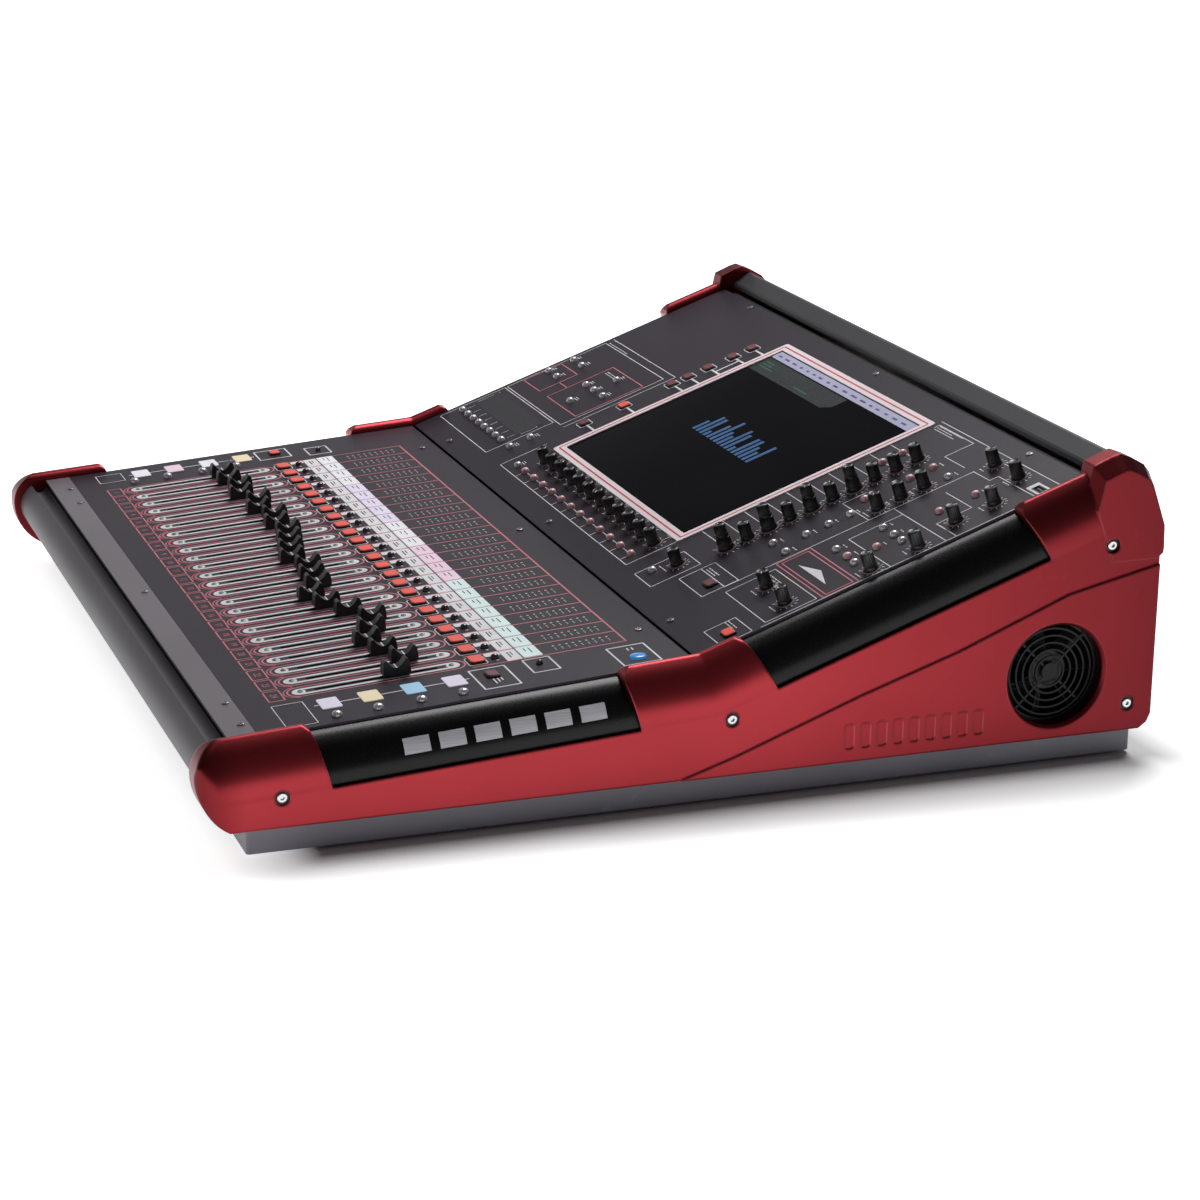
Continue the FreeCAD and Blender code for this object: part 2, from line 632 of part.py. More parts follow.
def round_key(x, v, radius, height):
    body = disc(x, v, -KEY_DEPTH, height, radius)
    return body.makeFillet(min(radius, height) * 0.45, [body.Edges[0]])


def make_select_keys():
    keys = [round_key(x, SELECT_V, 3.5, 2.2) for x in all_channels()]
    keys += [round_key(x, v, radius, 2.2) for x, v, radius in FADER_ROUND_KEYS]
    return on_slope(Part.makeCompound(keys), FADER_SLOPE)


def make_screen_keys():
    return on_slope(Part.makeCompound([key_block(RED_KEY, x, v) for x, v in SCREEN_RED_KEYS]),
                    SCREEN_SLOPE)


def make_dome_buttons():
    dome_height = 4.5
    sphere_r = 5.0
    crown = Part.makeSphere(sphere_r, V(0, 0, dome_height - sphere_r))
    stem = Part.makeCylinder(DOME_R, KEY_DEPTH + dome_height, V(0, 0, -KEY_DEPTH))
    button = stem.common(crown.fuse(Part.makeCylinder(sphere_r, 5.0, V(0, 0, -KEY_DEPTH))))
    return on_slope(Part.makeCompound([moved(button, x, v) for x, v in dome_spots()]), SCREEN_SLOPE)


def single_knob():
    skirt = 0.8
    body = Part.makeCone(KNOB_R, KNOB_R - 0.9, KNOB_HEIGHT, V(0, 0, skirt))
    body = body.makeFillet(0.8, [body.Edges[0]])
    return body.fuse(Part.makeCylinder(SHAFT_R, 7 + skirt, V(0, 0, -7)))


def double_knob():
    lower = Part.makeCone(7.6, 7.0, 12.4, V(0, 0, 0.8))
    upper = Part.makeCone(6.5, 5.8, 13.0, V(0, 0, 12.4))
    upper = upper.makeFillet(0.8, [upper.Edges[0]])
    return lower.fuse(upper).fuse(Part.makeCylinder(SHAFT_R, 7.8, V(0, 0, -7)))


def make_single_knobs():
    knob = single_knob()
    return on_slope(Part.makeCompound([moved(knob, x, v) for x, v in single_knob_spots()]), SCREEN_SLOPE)


# ---------------------------------------------------------------- inner parts
def make_circuit_boards():
    main = block(-340, 340, -330, 60, 34, 35.6)
    chips = [block(x - 16, x + 16, y - 16, y + 16, 35.6, 38.6)
             for x in (-240, -80, 80, 240) for y in (-220, -60)]
    studs = [disc(x, y, FOOT_HEIGHT + SHEET, 34, 4) for x in (-320, 0, 320) for y in (-310, 40)]
    main = main.fuse(chips).fuse(studs)
    encoders = [block(x - 6, x + 6, v - 6, v + 6, -15, -8)
                for x, v in double_knob_spots() + single_knob_spots()]
    right = block(185, 407, 28, 348, -16.6, -15)
    left = block(-407, -185, 28, 348, -16.6, -15)
    centre = block(-180, 180, 28, 76, -16.6, -15)
    deck_boards = on_slope(Part.makeCompound([right, left, centre] + encoders), SCREEN_SLOPE)
    return Part.makeCompound([main] + deck_boards.Solids)


def make_power_supply():
    low = FOOT_HEIGHT + SHEET
    case = block(150, 370, 260, 375, low, 52)
    slots = [block(170 + 14 * i, 176 + 14 * i, 275, 360, 48, 60) for i in range(14)]
    return cut_all(case, slots)


def fan_frame():
    half = FAN_FRAME / 2
    frame = block(FAN_X0, FAN_X1, FAN_Y - half, FAN_Y + half, FAN_Z - half, FAN_Z + half)
    frame = frame.cut(x_disc(FAN_X0 - 1, FAN_X1 + 1, FAN_Y, FAN_Z, FAN_BORE_R))
    motor = x_disc(FAN_X0, FAN_X0 + 3, FAN_Y, FAN_Z, 18)
    struts = []
    for turn in (30, 150, 270):
        strut = block(FAN_X0, FAN_X0 + 3, FAN_Y, FAN_Y + FAN_BORE_R + 1, FAN_Z - 2, FAN_Z + 2)
        strut.rotate(V(0, FAN_Y, FAN_Z), V(1, 0, 0), turn)
        struts.append(strut)
    pin = x_disc(FAN_X0 + 3, FAN_X0 + 12, FAN_Y, FAN_Z, 2.0)
    return frame.fuse([motor, pin] + struts)


def fan_rotor():
    hub_x0, hub_x1 = FAN_X0 + 3.5, FAN_X0 + 17
    hub = x_disc(hub_x0, hub_x1, FAN_Y, FAN_Z, 17)
    bore = x_disc(hub_x0 - 1, FAN_X0 + 13, FAN_Y, FAN_Z, 2.05)
    blades = []
    blade_count = 7
    for i in range(blade_count):
        blade = block(hub_x0 + 1, hub_x1 - 1, FAN_Y + 15, FAN_Y + 41, FAN_Z - 0.9, FAN_Z + 0.9)
        blade.rotate(V(hub_x0 + 8, FAN_Y, FAN_Z), V(0, 1, 0), 35)
        blade.rotate(V(0, FAN_Y, FAN_Z), V(1, 0, 0), 360.0 / blade_count * i)
        blades.append(blade)
    envelope = x_disc(hub_x0, hub_x1, FAN_Y, FAN_Z, 41)
    return hub.fuse(blades).common(envelope).cut(bore)


def fan_guard():
    """Concentric wire rings tied by four diagonal bars, flat against the inside of the cheek."""
    x0, x1 = FAN_X1 + 0.2, FAN_X1 + 2.2
    reach, wire, ring_pitch = 46.0, 1.6, 6.4
    rings = []
    for i in range(7):
        ring_r = reach - i * ring_pitch
        ring = x_disc(x0, x1, FAN_Y, FAN_Z, ring_r)
        rings.append(ring.cut(x_disc(x0 - 1, x1 + 1, FAN_Y, FAN_Z, ring_r - wire)))
    bars = []
    for turn in (45, 135):
        bar = block(x0, x1 - 1, FAN_Y - reach, FAN_Y + reach, FAN_Z - 1, FAN_Z + 1)
        bar.rotate(V(0, FAN_Y, FAN_Z), V(1, 0, 0), turn)
        bars.append(bar)
    boss = x_disc(x0, x1, FAN_Y, FAN_Z, 6)
    return boss.fuse(rings + bars).common(x_disc(x0, x1, FAN_Y, FAN_Z, reach))


def pair(shape):
    return Part.makeCompound([shape, mirrored(shape)])


# ---------------------------------------------------------------- rear connectors
INPUT_ROWS = [142.0, 100.0]
INPUT_X = [-385.0 + SOCKET_PITCH * i for i in range(12)]
OUTPUT_X = [15.0 + SOCKET_PITCH * i for i in range(8)]
OUTPUT_Z = 142.0
NETWORK_X = [20.0, 50.0]
NETWORK_Z = 100.0
INLET_X, INLET_Z = 345.0, 100.0
SWITCH_X = 300.0
PANEL_FACE = REAR_PANEL_Y + SHEET


def socket_body(x, z):
    across, tall = SOCKET_FLANGE
    flange = block(x - across / 2, x + across / 2, PANEL_FACE, PANEL_FACE + 2, z - tall / 2, z + tall / 2)
    barrel = y_disc(x, REAR_PANEL_Y - 18, PANEL_FACE, z, 11.5)
    return flange.fuse(barrel)


def input_socket(x, z):
    pins = [y_disc(x + 5 * math.cos(math.radians(a)), PANEL_FACE - 8, PANEL_FACE + 5,
                   z + 5 * math.sin(math.radians(a)), 1.5) for a in (180, 0, 270)]
    groove = y_disc(x, PANEL_FACE + 1, PANEL_FACE + 5, z, 9.6)
    groove = groove.cut(y_disc(x, PANEL_FACE, PANEL_FACE + 6, z, 8.6))
    return socket_body(x, z).cut(groove).cut(Part.makeCompound(pins))


def output_socket(x, z):
    recess = y_disc(x, PANEL_FACE - 12, PANEL_FACE + 5, z, 9.3)
    pins = [y_disc(x + 5 * math.cos(math.radians(a)), PANEL_FACE - 12.5, PANEL_FACE - 6,
                   z + 5 * math.sin(math.radians(a)), 1.2) for a in (180, 0, 90)]
    return socket_body(x, z).cut(recess).fuse(pins)


def network_socket(x, z):
    shell = block(x - 9, x + 9, REAR_PANEL_Y - 14, PANEL_FACE + 1.5, z - 8, z + 8)
    return shell.cut(block(x - 6, x + 6, PANEL_FACE - 12, PANEL_FACE + 5, z - 4.2, z + 4.2))


def usb_socket():
    x, v = USB_SPOT
    shell = block(x - 6.8, x + 6.8, v - 3.4, v + 3.4, -14, 0.4)
    mouth = block(x - 6.1, x + 6.1, v - 2.7, v + 2.7, -12, 3)
    tongue = block(x - 5.6, x + 5.6, v - 0.4, v + 1.8, -12, -0.6)
    return on_slope(shell.cut(mouth).fuse(tongue), SCREEN_SLOPE)


def make_signal_sockets():
    sockets = [input_socket(x, z) for z in INPUT_ROWS for x in INPUT_X]
    sockets += [output_socket(x, OUTPUT_Z) for x in OUTPUT_X]
    sockets += [network_socket(x, NETWORK_Z) for x in NETWORK_X]
    return Part.makeCompound(sockets + [usb_socket()])


def make_mains_inlet():
    """Three-blade inlet beside the frame of the rocker switch."""
    shell = block(INLET_X - 15, INLET_X + 15, REAR_PANEL_Y - 18, PANEL_FACE + 2, INLET_Z - 12, INLET_Z + 12)
    recess = block(INLET_X - 12, INLET_X + 12, PANEL_FACE - 14, PANEL_FACE + 5, INLET_Z - 8, INLET_Z + 8)
    blades = [block(INLET_X + dx - 1, INLET_X + dx + 1, PANEL_FACE - 15, PANEL_FACE - 5, INLET_Z + dz - 2.5,
                    INLET_Z + dz + 2.5) for dx, dz in ((-7, -2), (7, -2), (0, 3))]
    inlet = shell.cut(recess).fuse(blades)
    frame = block(SWITCH_X - 10, SWITCH_X + 10, REAR_PANEL_Y - 16, PANEL_FACE + 2, INLET_Z - 14, INLET_Z + 14)
    well = block(SWITCH_X - 7.4, SWITCH_X + 7.4, PANEL_FACE - 12, PANEL_FACE + 5,
                 INLET_Z - 11.4, INLET_Z + 11.4)
    return Part.makeCompound([inlet, frame.cut(well)])


SWITCH_PIVOT_Y = PANEL_FACE - 2
SWITCH_TILT = 8.0


def make_power_switch():
    """Rocker at rest on its off side."""
    y = SWITCH_PIVOT_Y
    outline = [(y - 4, INLET_Z - 3), (y + 3.2, INLET_Z - 10.2), (y + 4.6, INLET_Z - 10.2), (y + 2.6, INLET_Z),
               (y + 4.6, INLET_Z + 10.2), (y + 3.2, INLET_Z + 10.2), (y - 4, INLET_Z + 3)]
    rocker = prism_x(outline, SWITCH_X - 7, SWITCH_X + 7)
    rocker.rotate(V(SWITCH_X, SWITCH_PIVOT_Y, INLET_Z), V(1, 0, 0), -SWITCH_TILT)
    return rocker


def make_rear_panel():
    top = REAR_PANEL_TOP
    plate = block(-DECK_HALF, DECK_HALF, REAR_PANEL_Y, PANEL_FACE, TRAY_TOP - 18, top)
    holes = [y_disc(x, 380, 430, z, 11.8) for z in INPUT_ROWS for x in INPUT_X]
    holes += [y_disc(x, 380, 430, OUTPUT_Z, 11.8) for x in OUTPUT_X]
    holes += [block(x - 9.2, x + 9.2, 380, 430, NETWORK_Z - 8.2, NETWORK_Z + 8.2) for x in NETWORK_X]
    holes.append(block(INLET_X - 15.2, INLET_X + 15.2, 380, 430, INLET_Z - 12.2, INLET_Z + 12.2))
    holes.append(block(SWITCH_X - 10.2, SWITCH_X + 10.2, 380, 430, INLET_Z - 14.2, INLET_Z + 14.2))
    return cut_all(plate, holes)


# ---------------------------------------------------------------- write every node
def main():
    os.makedirs("parts", exist_ok=True)
    cheek = make_right_cheek()
    trim = make_right_trim()
    save("right_cheek", cheek)
    save("left_cheek", mirrored(cheek))
    save("right_trim", trim)
    save("left_trim", mirrored(trim))
    save("cheek_screws", make_cheek_screws())
    save("base_tray", make_base_tray())
    save("feet", make_feet())
    save("inner_chassis", make_inner_chassis())
    save("front_rail", make_front_rail())
    save("palm_rest", make_palm_rest())
    save("rear_bar", make_rear_bar())
    save("rear_panel", make_rear_panel())
    save("fader_panel", make_fader_panel())
    save("screen_panel", make_screen_panel())
    save("deck_screws", make_deck_screws())
    save("display_module", make_display_module())
    save("display_bezel", make_display_bezel())
    save("channel_displays", make_channel_displays())
    save("fader_modules", make_fader_modules())
    save("mute_keys", make_mute_keys())
    save("select_keys", make_select_keys())
    save("screen_keys", make_screen_keys())
    save("dome_buttons", make_dome_buttons())
    save("single_knobs", make_single_knobs())
    save("circuit_boards", make_circuit_boards())
    save("power_supply", make_power_supply())
    save("fan_housings", pair(fan_frame()))
    save("fan_rotors", pair(fan_rotor()))
    save("fan_guards", pair(fan_guard()))
    save("signal_sockets", make_signal_sockets())
    save("mains_inlet", make_mains_inlet())
    save("power_switch", make_power_switch())
    cap = fader_cap()
    for index, rest in enumerate(CAP_REST):
        placed = on_slope(moved(cap, channel_x(index), rest), FADER_SLOPE)
        save("fader_cap_%02d" % (index + 1), placed)
    for index, (x, v) in enumerate(double_knob_spots()):
        save("double_knob_%d" % (index + 1), on_slope(moved(double_knob(), x, v), SCREEN_SLOPE))


main()
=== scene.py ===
import json
import math
import random

import bpy
from mathutils import Matrix, Vector


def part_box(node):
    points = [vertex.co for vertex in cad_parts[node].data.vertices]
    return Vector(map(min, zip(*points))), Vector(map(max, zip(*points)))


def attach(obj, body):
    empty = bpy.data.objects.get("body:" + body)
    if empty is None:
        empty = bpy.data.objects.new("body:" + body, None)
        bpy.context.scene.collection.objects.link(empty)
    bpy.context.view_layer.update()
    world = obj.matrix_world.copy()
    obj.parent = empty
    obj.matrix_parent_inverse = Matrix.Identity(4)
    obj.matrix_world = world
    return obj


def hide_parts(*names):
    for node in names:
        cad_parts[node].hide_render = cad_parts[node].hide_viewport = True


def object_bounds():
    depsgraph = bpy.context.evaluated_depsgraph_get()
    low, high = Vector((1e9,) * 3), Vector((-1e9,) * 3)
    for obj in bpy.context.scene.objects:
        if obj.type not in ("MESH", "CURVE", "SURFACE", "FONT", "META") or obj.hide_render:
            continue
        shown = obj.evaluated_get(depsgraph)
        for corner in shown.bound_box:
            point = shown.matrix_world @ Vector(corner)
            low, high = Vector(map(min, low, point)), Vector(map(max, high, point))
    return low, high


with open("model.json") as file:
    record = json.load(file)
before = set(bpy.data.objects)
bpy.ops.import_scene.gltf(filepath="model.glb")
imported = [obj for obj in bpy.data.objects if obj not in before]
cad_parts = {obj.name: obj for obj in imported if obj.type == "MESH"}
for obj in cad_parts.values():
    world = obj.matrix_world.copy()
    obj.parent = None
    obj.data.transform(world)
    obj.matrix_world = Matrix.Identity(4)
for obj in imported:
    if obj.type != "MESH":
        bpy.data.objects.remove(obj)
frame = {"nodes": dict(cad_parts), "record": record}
cad_bounds = [list(corner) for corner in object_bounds()]
record = frame["record"]
joints = {joint["name"]: joint for joint in record["behaviour"]["joints"]}

# ------------------------------------------------------------------ decks
# Everything on a deck is drawn in millimetres as (x, v, w): across, up the slope, out of the face.
MM = 0.001
PLATE = 3.0
FADER_EDGE_V = -2.5            # rear edge of the fader deck, before the fold
ROOT = "console"


def slope_of(joint):
    axis = joints[joint]["axis"]
    return math.atan2(-axis[1], axis[2])


FADER_SLOPE = slope_of("mute_keys_press")
SCREEN_SLOPE = slope_of("screen_keys_press")
_, fader_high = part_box("fader_panel")
FOLD_Z = fader_high[2] - FADER_EDGE_V * MM * math.sin(FADER_SLOPE)
FOLD_Y = (fader_high[1] - FADER_EDGE_V * MM * math.cos(FADER_SLOPE)
          - PLATE * MM * math.sin(FADER_SLOPE))


def deck(slope):
    place = Matrix.Translation((0, FOLD_Y, FOLD_Z))
    return place @ Matrix.Rotation(slope, 4, "X") @ Matrix.Scale(MM, 4)


FADER_DECK = deck(FADER_SLOPE)
SCREEN_DECK = deck(SCREEN_SLOPE)
FLAT = Matrix.Scale(MM, 4)

CHANNELS = 24
PITCH = 28.6
CHANNEL_X = [(i - (CHANNELS - 1) / 2) * PITCH for i in range(CHANNELS)]
FADER_V = -252.2
FADER_SCREW_OFFSET = 65.2      # from the middle of a slot to the screw at each end
MUTE_V = -165.4
SELECT_V = -148.9
WINDOW_V = -118.8
WINDOW_HALF, WINDOW_HALF_V, WINDOW_TOP = 13.2, 8.3, 0.7
LABEL_ROWS = [-196, -231.6, -268.2, -302.8]
LABEL_X = (367.0, -384.0)
GLASS_HALF = 163.0
GLASS_V0, GLASS_V1 = 90.9, 338.4

COLUMN_X, COLUMN_V0, COLUMN_PITCH = 233.0, 104.7, 21.8
COLUMN = [(COLUMN_X, COLUMN_V0 + i * COLUMN_PITCH) for i in range(10)]
DOUBLE_KNOBS = COLUMN[0:7:2]
ROW_PITCH = 27.5
KNOB_ROW = [(-147.5 + i * ROW_PITCH, 63.2) for i in range(12)]
SHORT_COLUMN = [(293.0, 231.0), (293.0, 254.5), (293.0, 278.0)]
SIDE_KNOBS = [(313.0, 339.5), (358.0, 339.5), (385.0, 301.0), (385.0, 263.0), (400.0, 218.5),
              (400.0, 172.5), (344.0, 97.0), (388.0, 95.0), (220.0, 61.0)]
SINGLE_KNOBS = [s for s in COLUMN if s not in DOUBLE_KNOBS] + SHORT_COLUMN + SIDE_KNOBS + KNOB_ROW
DOME_ROW = [(x, 39.8) for x, _ in KNOB_ROW]
LEFT_ROW = [(-392.0 + i * 19.0, 51.5) for i in range(8)]
PINK_DOMES = [(205, 299), (205, 278), (263, 302), (263, 278), (263, 232), (353, 299), (353, 263),
              (365, 195), (357, 170)]
WHITE_DOMES = [(295, 301), (280, 209), (280, 187.5), (280, 165), (267, 137.5), (295, 137.5),
               (335, 216), (357, 216), (375, 215), (335, 169.5), (375, 168.5), (210, 39.8),
               (-395, 185.5), (-368, 185.5), (-395, 155.5), (-368, 155.5), (-282, 194),
               (-307, 167.5), (-282, 167.5), (-255, 167.5), (-282, 139.5),
               (-230, 51.5), (-230, 75), (-171, 39.8)]
SCREEN_KEYS = [(-205, 321.4), (-205, 299), (-205, 270.5), (-205, 247), (-205, 228),
               (-205, 172.5), (-205, 127), (288, 65.3), (395, 37.7)]
LIT_SCREEN_KEYS = [(-205, 172.5), (395, 37.7)]
FADER_KEYS = [(368, -164), (-385, -161)]
LIT_FADER_KEYS = [(-385, -161)]
LABEL_KEYS = [(397, v - 1.5) for v in LABEL_ROWS] + [(-358, v - 12.0) for v in LABEL_ROWS]
SMALL_ROUND_KEYS = [(361, -120, 2.8), (-372, -117, 2.8)]
BLUE_KEY = (386, -41.6, 7.0)


# printing starts a little below the deck's face and stands this far above it
SUNK, INK = -0.1, 0.12


# ------------------------------------------------------------------ mesh kit
class Kit:
    """Collects closed solids in millimetres and turns them into one object."""

    def __init__(self):
        self.points = []
        self.faces = []
        self.smooth = []

    def add(self, points, faces, smooth=False):
        base = len(self.points)
        self.points += points
        self.faces += [[base + i for i in face] for face in faces]
        self.smooth += [smooth] * len(faces)

    def prism(self, outline, z0, z1):
        n = len(outline)
        points = [(x, y, z0) for x, y in outline] + [(x, y, z1) for x, y in outline]
        faces = [list(range(n))[::-1], list(range(n, 2 * n))]
        faces += [[i, (i + 1) % n, n + (i + 1) % n, n + i] for i in range(n)]
        self.add(points, faces)

    def box(self, x0, x1, y0, y1, z0, z1):
        self.prism([(x0, y0), (x1, y0), (x1, y1), (x0, y1)], z0, z1)

    def frame(self, outer, inner, z0, z1):
        """A closed band between two loops with the same number of points."""
        n = len(outer)
        loops = [(outer, z0), (outer, z1), (inner, z1), (inner, z0)]
        points = [(x, y, z) for loop, z in loops for x, y in loop]
        faces = []
        for band in range(4):
            a, b = band * n, ((band + 1) % 4) * n
            faces += [[a + i, a + (i + 1) % n, b + (i + 1) % n, b + i] for i in range(n)]
        self.add(points, faces)

    def outline(self, loop, width, z0=-0.1, z1=0.15):
        outer = grow(loop, width / 2)
        inner = grow(loop, -width / 2)
        self.frame(outer, inner, z0, z1)

    def stroke(self, points, width, z0=-0.1, z1=0.15):
        for (xa, ya), (xb, yb) in zip(points, points[1:]):
            length = math.hypot(xb - xa, yb - ya)
            if length == 0:
                continue
            ux, uy = (xb - xa) / length, (yb - ya) / length
            half = width / 2
            xa2, ya2, xb2, yb2 = xa - ux * half, ya - uy * half, xb + ux * half, yb + uy * half
            nx, ny = -uy * half, ux * half
            self.prism([(xa2 - nx, ya2 - ny), (xb2 - nx, yb2 - ny), (xb2 + nx, yb2 + ny),
                        (xa2 + nx, ya2 + ny)], z0, z1)

    def lathe(self, profile, x, y, steps=28, ribs=0, depth=0.0, rib_span=(0.0, 0.0)):
        """A turned solid; between the rib_span heights its side is fluted."""
        points = []
        rings = len(profile)
        for r, z in profile:
            for k in range(steps):
                angle = 2 * math.pi * k / steps
                radius = r
                if ribs and rib_span[0] <= z <= rib_span[1]:
                    radius -= depth * (0.5 + 0.5 * math.cos(ribs * angle))
                points.append((x + radius * math.cos(angle), y + radius * math.sin(angle), z))
        faces = [list(range(steps))[::-1], [(rings - 1) * steps + k for k in range(steps)]]
        for j in range(rings - 1):
            a, b = j * steps, (j + 1) * steps
            faces += [[a + k, a + (k + 1) % steps, b + (k + 1) % steps, b + k] for k in range(steps)]
        self.add(points, faces, smooth=True)

    def build(self, name, matrix, material, body=ROOT, slot=None, bevel=0.0, sharp=40.0):
        mesh = bpy.data.meshes.new(name)
        mesh.from_pydata([matrix @ Vector(p) for p in self.points], [], self.faces)
        mesh.validate()
        for polygon, smooth in zip(mesh.polygons, self.smooth):
            polygon.use_smooth = smooth
        obj = bpy.data.objects.new(name, mesh)
        bpy.context.scene.collection.objects.link(obj)
        mesh.materials.append(material)
        if any(self.smooth):
            mesh.set_sharp_from_angle(angle=math.radians(sharp))
        if bevel:
            edge = obj.modifiers.new("edges", "BEVEL")
            edge.width = bevel * MM
            edge.segments = 3
            edge.limit_method = "ANGLE"
            edge.angle_limit = math.radians(35)
        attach(obj, body)
        return obj


def rounded(x0, x1, y0, y1, radius, steps=4):
    """Corner-rounded rectangle, anticlockwise."""
    loop = []
    for cx, cy, start in ((x1 - radius, y1 - radius, 0), (x0 + radius, y1 - radius, 90),
                          (x0 + radius, y0 + radius, 180), (x1 - radius, y0 + radius, 270)):
        for k in range(steps + 1):
            angle = math.radians(start + 90 * k / steps)
            loop.append((cx + radius * math.cos(angle), cy + radius * math.sin(angle)))
    return loop


def grow(loop, distance):
    """Moves each point of an anticlockwise loop outwards."""
    result = []
    n = len(loop)
    for i in range(n):
        xa, ya = loop[i - 1]
        xb, yb = loop[(i + 1) % n]
        x, y = loop[i]
        ax, ay = x - xa, y - ya
        bx, by = xb - x, yb - y
        la, lb = math.hypot(ax, ay) or 1, math.hypot(bx, by) or 1
        nx, ny = ay / la + by / lb, -ax / la - bx / lb
        size = math.hypot(nx, ny) or 1
        scale = 2 / max(size * size, 1.0)
        result.append((x + nx * distance * scale, y + ny * distance * scale))
    return result


# ------------------------------------------------------------------ materials
def new_material(name):
    material = bpy.data.materials.new(name)
    material.use_nodes = True
    nodes = material.node_tree.nodes
    return material, nodes, material.node_tree.links, nodes["Principled BSDF"]


def noise(nodes, links, coord, scale, detail=3.0):
    node = nodes.new("ShaderNodeTexNoise")
    node.inputs["Scale"].default_value = scale
    node.inputs["Detail"].default_value = detail
    links.new(coord.outputs["Object"], node.inputs["Vector"])
    return node


def ramp(nodes, links, source, stops):
    node = nodes.new("ShaderNodeValToRGB")
    elements = node.color_ramp.elements
    while len(elements) < len(stops):
        elements.new(0.5)
    for element, (place, colour) in zip(elements, stops):
        element.position = place
        element.color = (*colour, 1)
    links.new(source, node.inputs["Fac"])
    return node


def tint(colour, factor):
    return tuple(min(1.0, c * factor) for c in colour)


def surface(name, colour, rough, metallic=0.0, spread=0.15, patch=9.0, grain=900.0, bump=0.05,
            scuffs=0.0, coat=0.0, specular=0.5, glow=None, glow_strength=0.0):
    """One finish: patchy colour, uneven gloss, fine grain and light scuffs."""
    material, nodes, links, shader = new_material(name)
    coord = nodes.new("ShaderNodeTexCoord")
    patches = noise(nodes, links, coord, patch)
    colours = ramp(nodes, links, patches.outputs["Fac"],
                   [(0.3, tint(colour, 1 - spread)), (0.7, tint(colour, 1 + spread))])
    base = colours.outputs["Color"]
    fine = noise(nodes, links, coord, grain, 4.0)
    gloss = ramp(nodes, links, fine.outputs["Fac"],
                 [(0.25, (rough * 0.85,) * 3), (0.75, (min(1.0, rough * 1.15),) * 3)])
    if scuffs:
        marks = noise(nodes, links, coord, patch * 16, 8.0)
        mask = ramp(nodes, links, marks.outputs["Fac"], [(0.66, (0, 0, 0)), (0.74, (scuffs,) * 3)])
        mix = nodes.new("ShaderNodeMix")
        mix.data_type = "RGBA"
        links.new(mask.outputs["Color"], mix.inputs["Factor"])
        links.new(base, mix.inputs["A"])
        mix.inputs["B"].default_value = (*tint(colour, 1.9), 1)
        base = mix.outputs["Result"]
    links.new(base, shader.inputs["Base Color"])
    links.new(gloss.outputs["Color"], shader.inputs["Roughness"])
    relief = nodes.new("ShaderNodeBump")
    relief.inputs["Strength"].default_value = bump
    relief.inputs["Distance"].default_value = 0.0004
    links.new(fine.outputs["Fac"], relief.inputs["Height"])
    links.new(relief.outputs["Normal"], shader.inputs["Normal"])
    shader.inputs["Metallic"].default_value = metallic
    shader.inputs["Specular IOR Level"].default_value = specular
    if coat:
        shader.inputs["Coat Weight"].default_value = coat
        shader.inputs["Coat Roughness"].default_value = 0.12
    if glow:
        shader.inputs["Emission Color"].default_value = (*glow, 1)
        shader.inputs["Emission Strength"].default_value = glow_strength
    return material


def edge_highlight(material, colour, radius, strength, softness):
    """Painted highlight: paint made lighter along the softly rounded edges of a casting, standing in for
    light caught by the edges.
    """
    nodes, links = material.node_tree.nodes, material.node_tree.links
    shader = nodes["Principled BSDF"]
    rounded_normal = nodes.new("ShaderNodeBevel")
    rounded_normal.samples = 6
    rounded_normal.inputs["Radius"].default_value = radius
    geometry = nodes.new("ShaderNodeNewGeometry")
    agreement = nodes.new("ShaderNodeVectorMath")
    agreement.operation = "DOT_PRODUCT"
    links.new(rounded_normal.outputs["Normal"], agreement.inputs[0])
    links.new(geometry.outputs["Normal"], agreement.inputs[1])
    mask = ramp(nodes, links, agreement.outputs["Value"], [(0.90, (strength,) * 3), (0.985, (0, 0, 0))])
    # painted highlight mixed into the paint where the surface turns at an edge
    highlighted = nodes.new("ShaderNodeMix")
    highlighted.data_type = "RGBA"
    paint = shader.inputs["Base Color"].links[0].from_socket
    links.new(mask.outputs["Color"], highlighted.inputs["Factor"])
    links.new(paint, highlighted.inputs["A"])
    highlighted.inputs["B"].default_value = (*colour, 1)
    links.new(highlighted.outputs["Result"], shader.inputs["Base Color"])
    soft_normal = nodes.new("ShaderNodeBevel")
    soft_normal.samples = 6
    soft_normal.inputs["Radius"].default_value = softness
    relief = shader.inputs["Normal"].links[0].from_node
    links.new(soft_normal.outputs["Normal"], relief.inputs["Normal"])


def paint_shade_along(material, stops, reach):
    """Painted shade: darkens a paint towards the ends of the object, from one end (0) to the other (1)."""
    nodes, links = material.node_tree.nodes, material.node_tree.links
    shader = nodes["Principled BSDF"]
    coord = nodes.new("ShaderNodeTexCoord")
    split = nodes.new("ShaderNodeSeparateXYZ")
    links.new(coord.outputs["Object"], split.inputs["Vector"])
    place = nodes.new("ShaderNodeMapRange")
    place.inputs["From Min"].default_value = -reach
    place.inputs["From Max"].default_value = reach
    links.new(split.outputs["Y"], place.inputs["Value"])
    shade = ramp(nodes, links, place.outputs["Result"], [(at, (value,) * 3) for at, value in stops])
    shaded_paint = nodes.new("ShaderNodeMix")
    shaded_paint.data_type = "RGBA"
    shaded_paint.blend_type = "MULTIPLY"
    shaded_paint.inputs["Factor"].default_value = 1.0
    paint = shader.inputs["Base Color"].links[0].from_socket
    links.new(paint, shaded_paint.inputs["A"])
    links.new(shade.outputs["Color"], shaded_paint.inputs["B"])
    links.new(shaded_paint.outputs["Result"], shader.inputs["Base Color"])


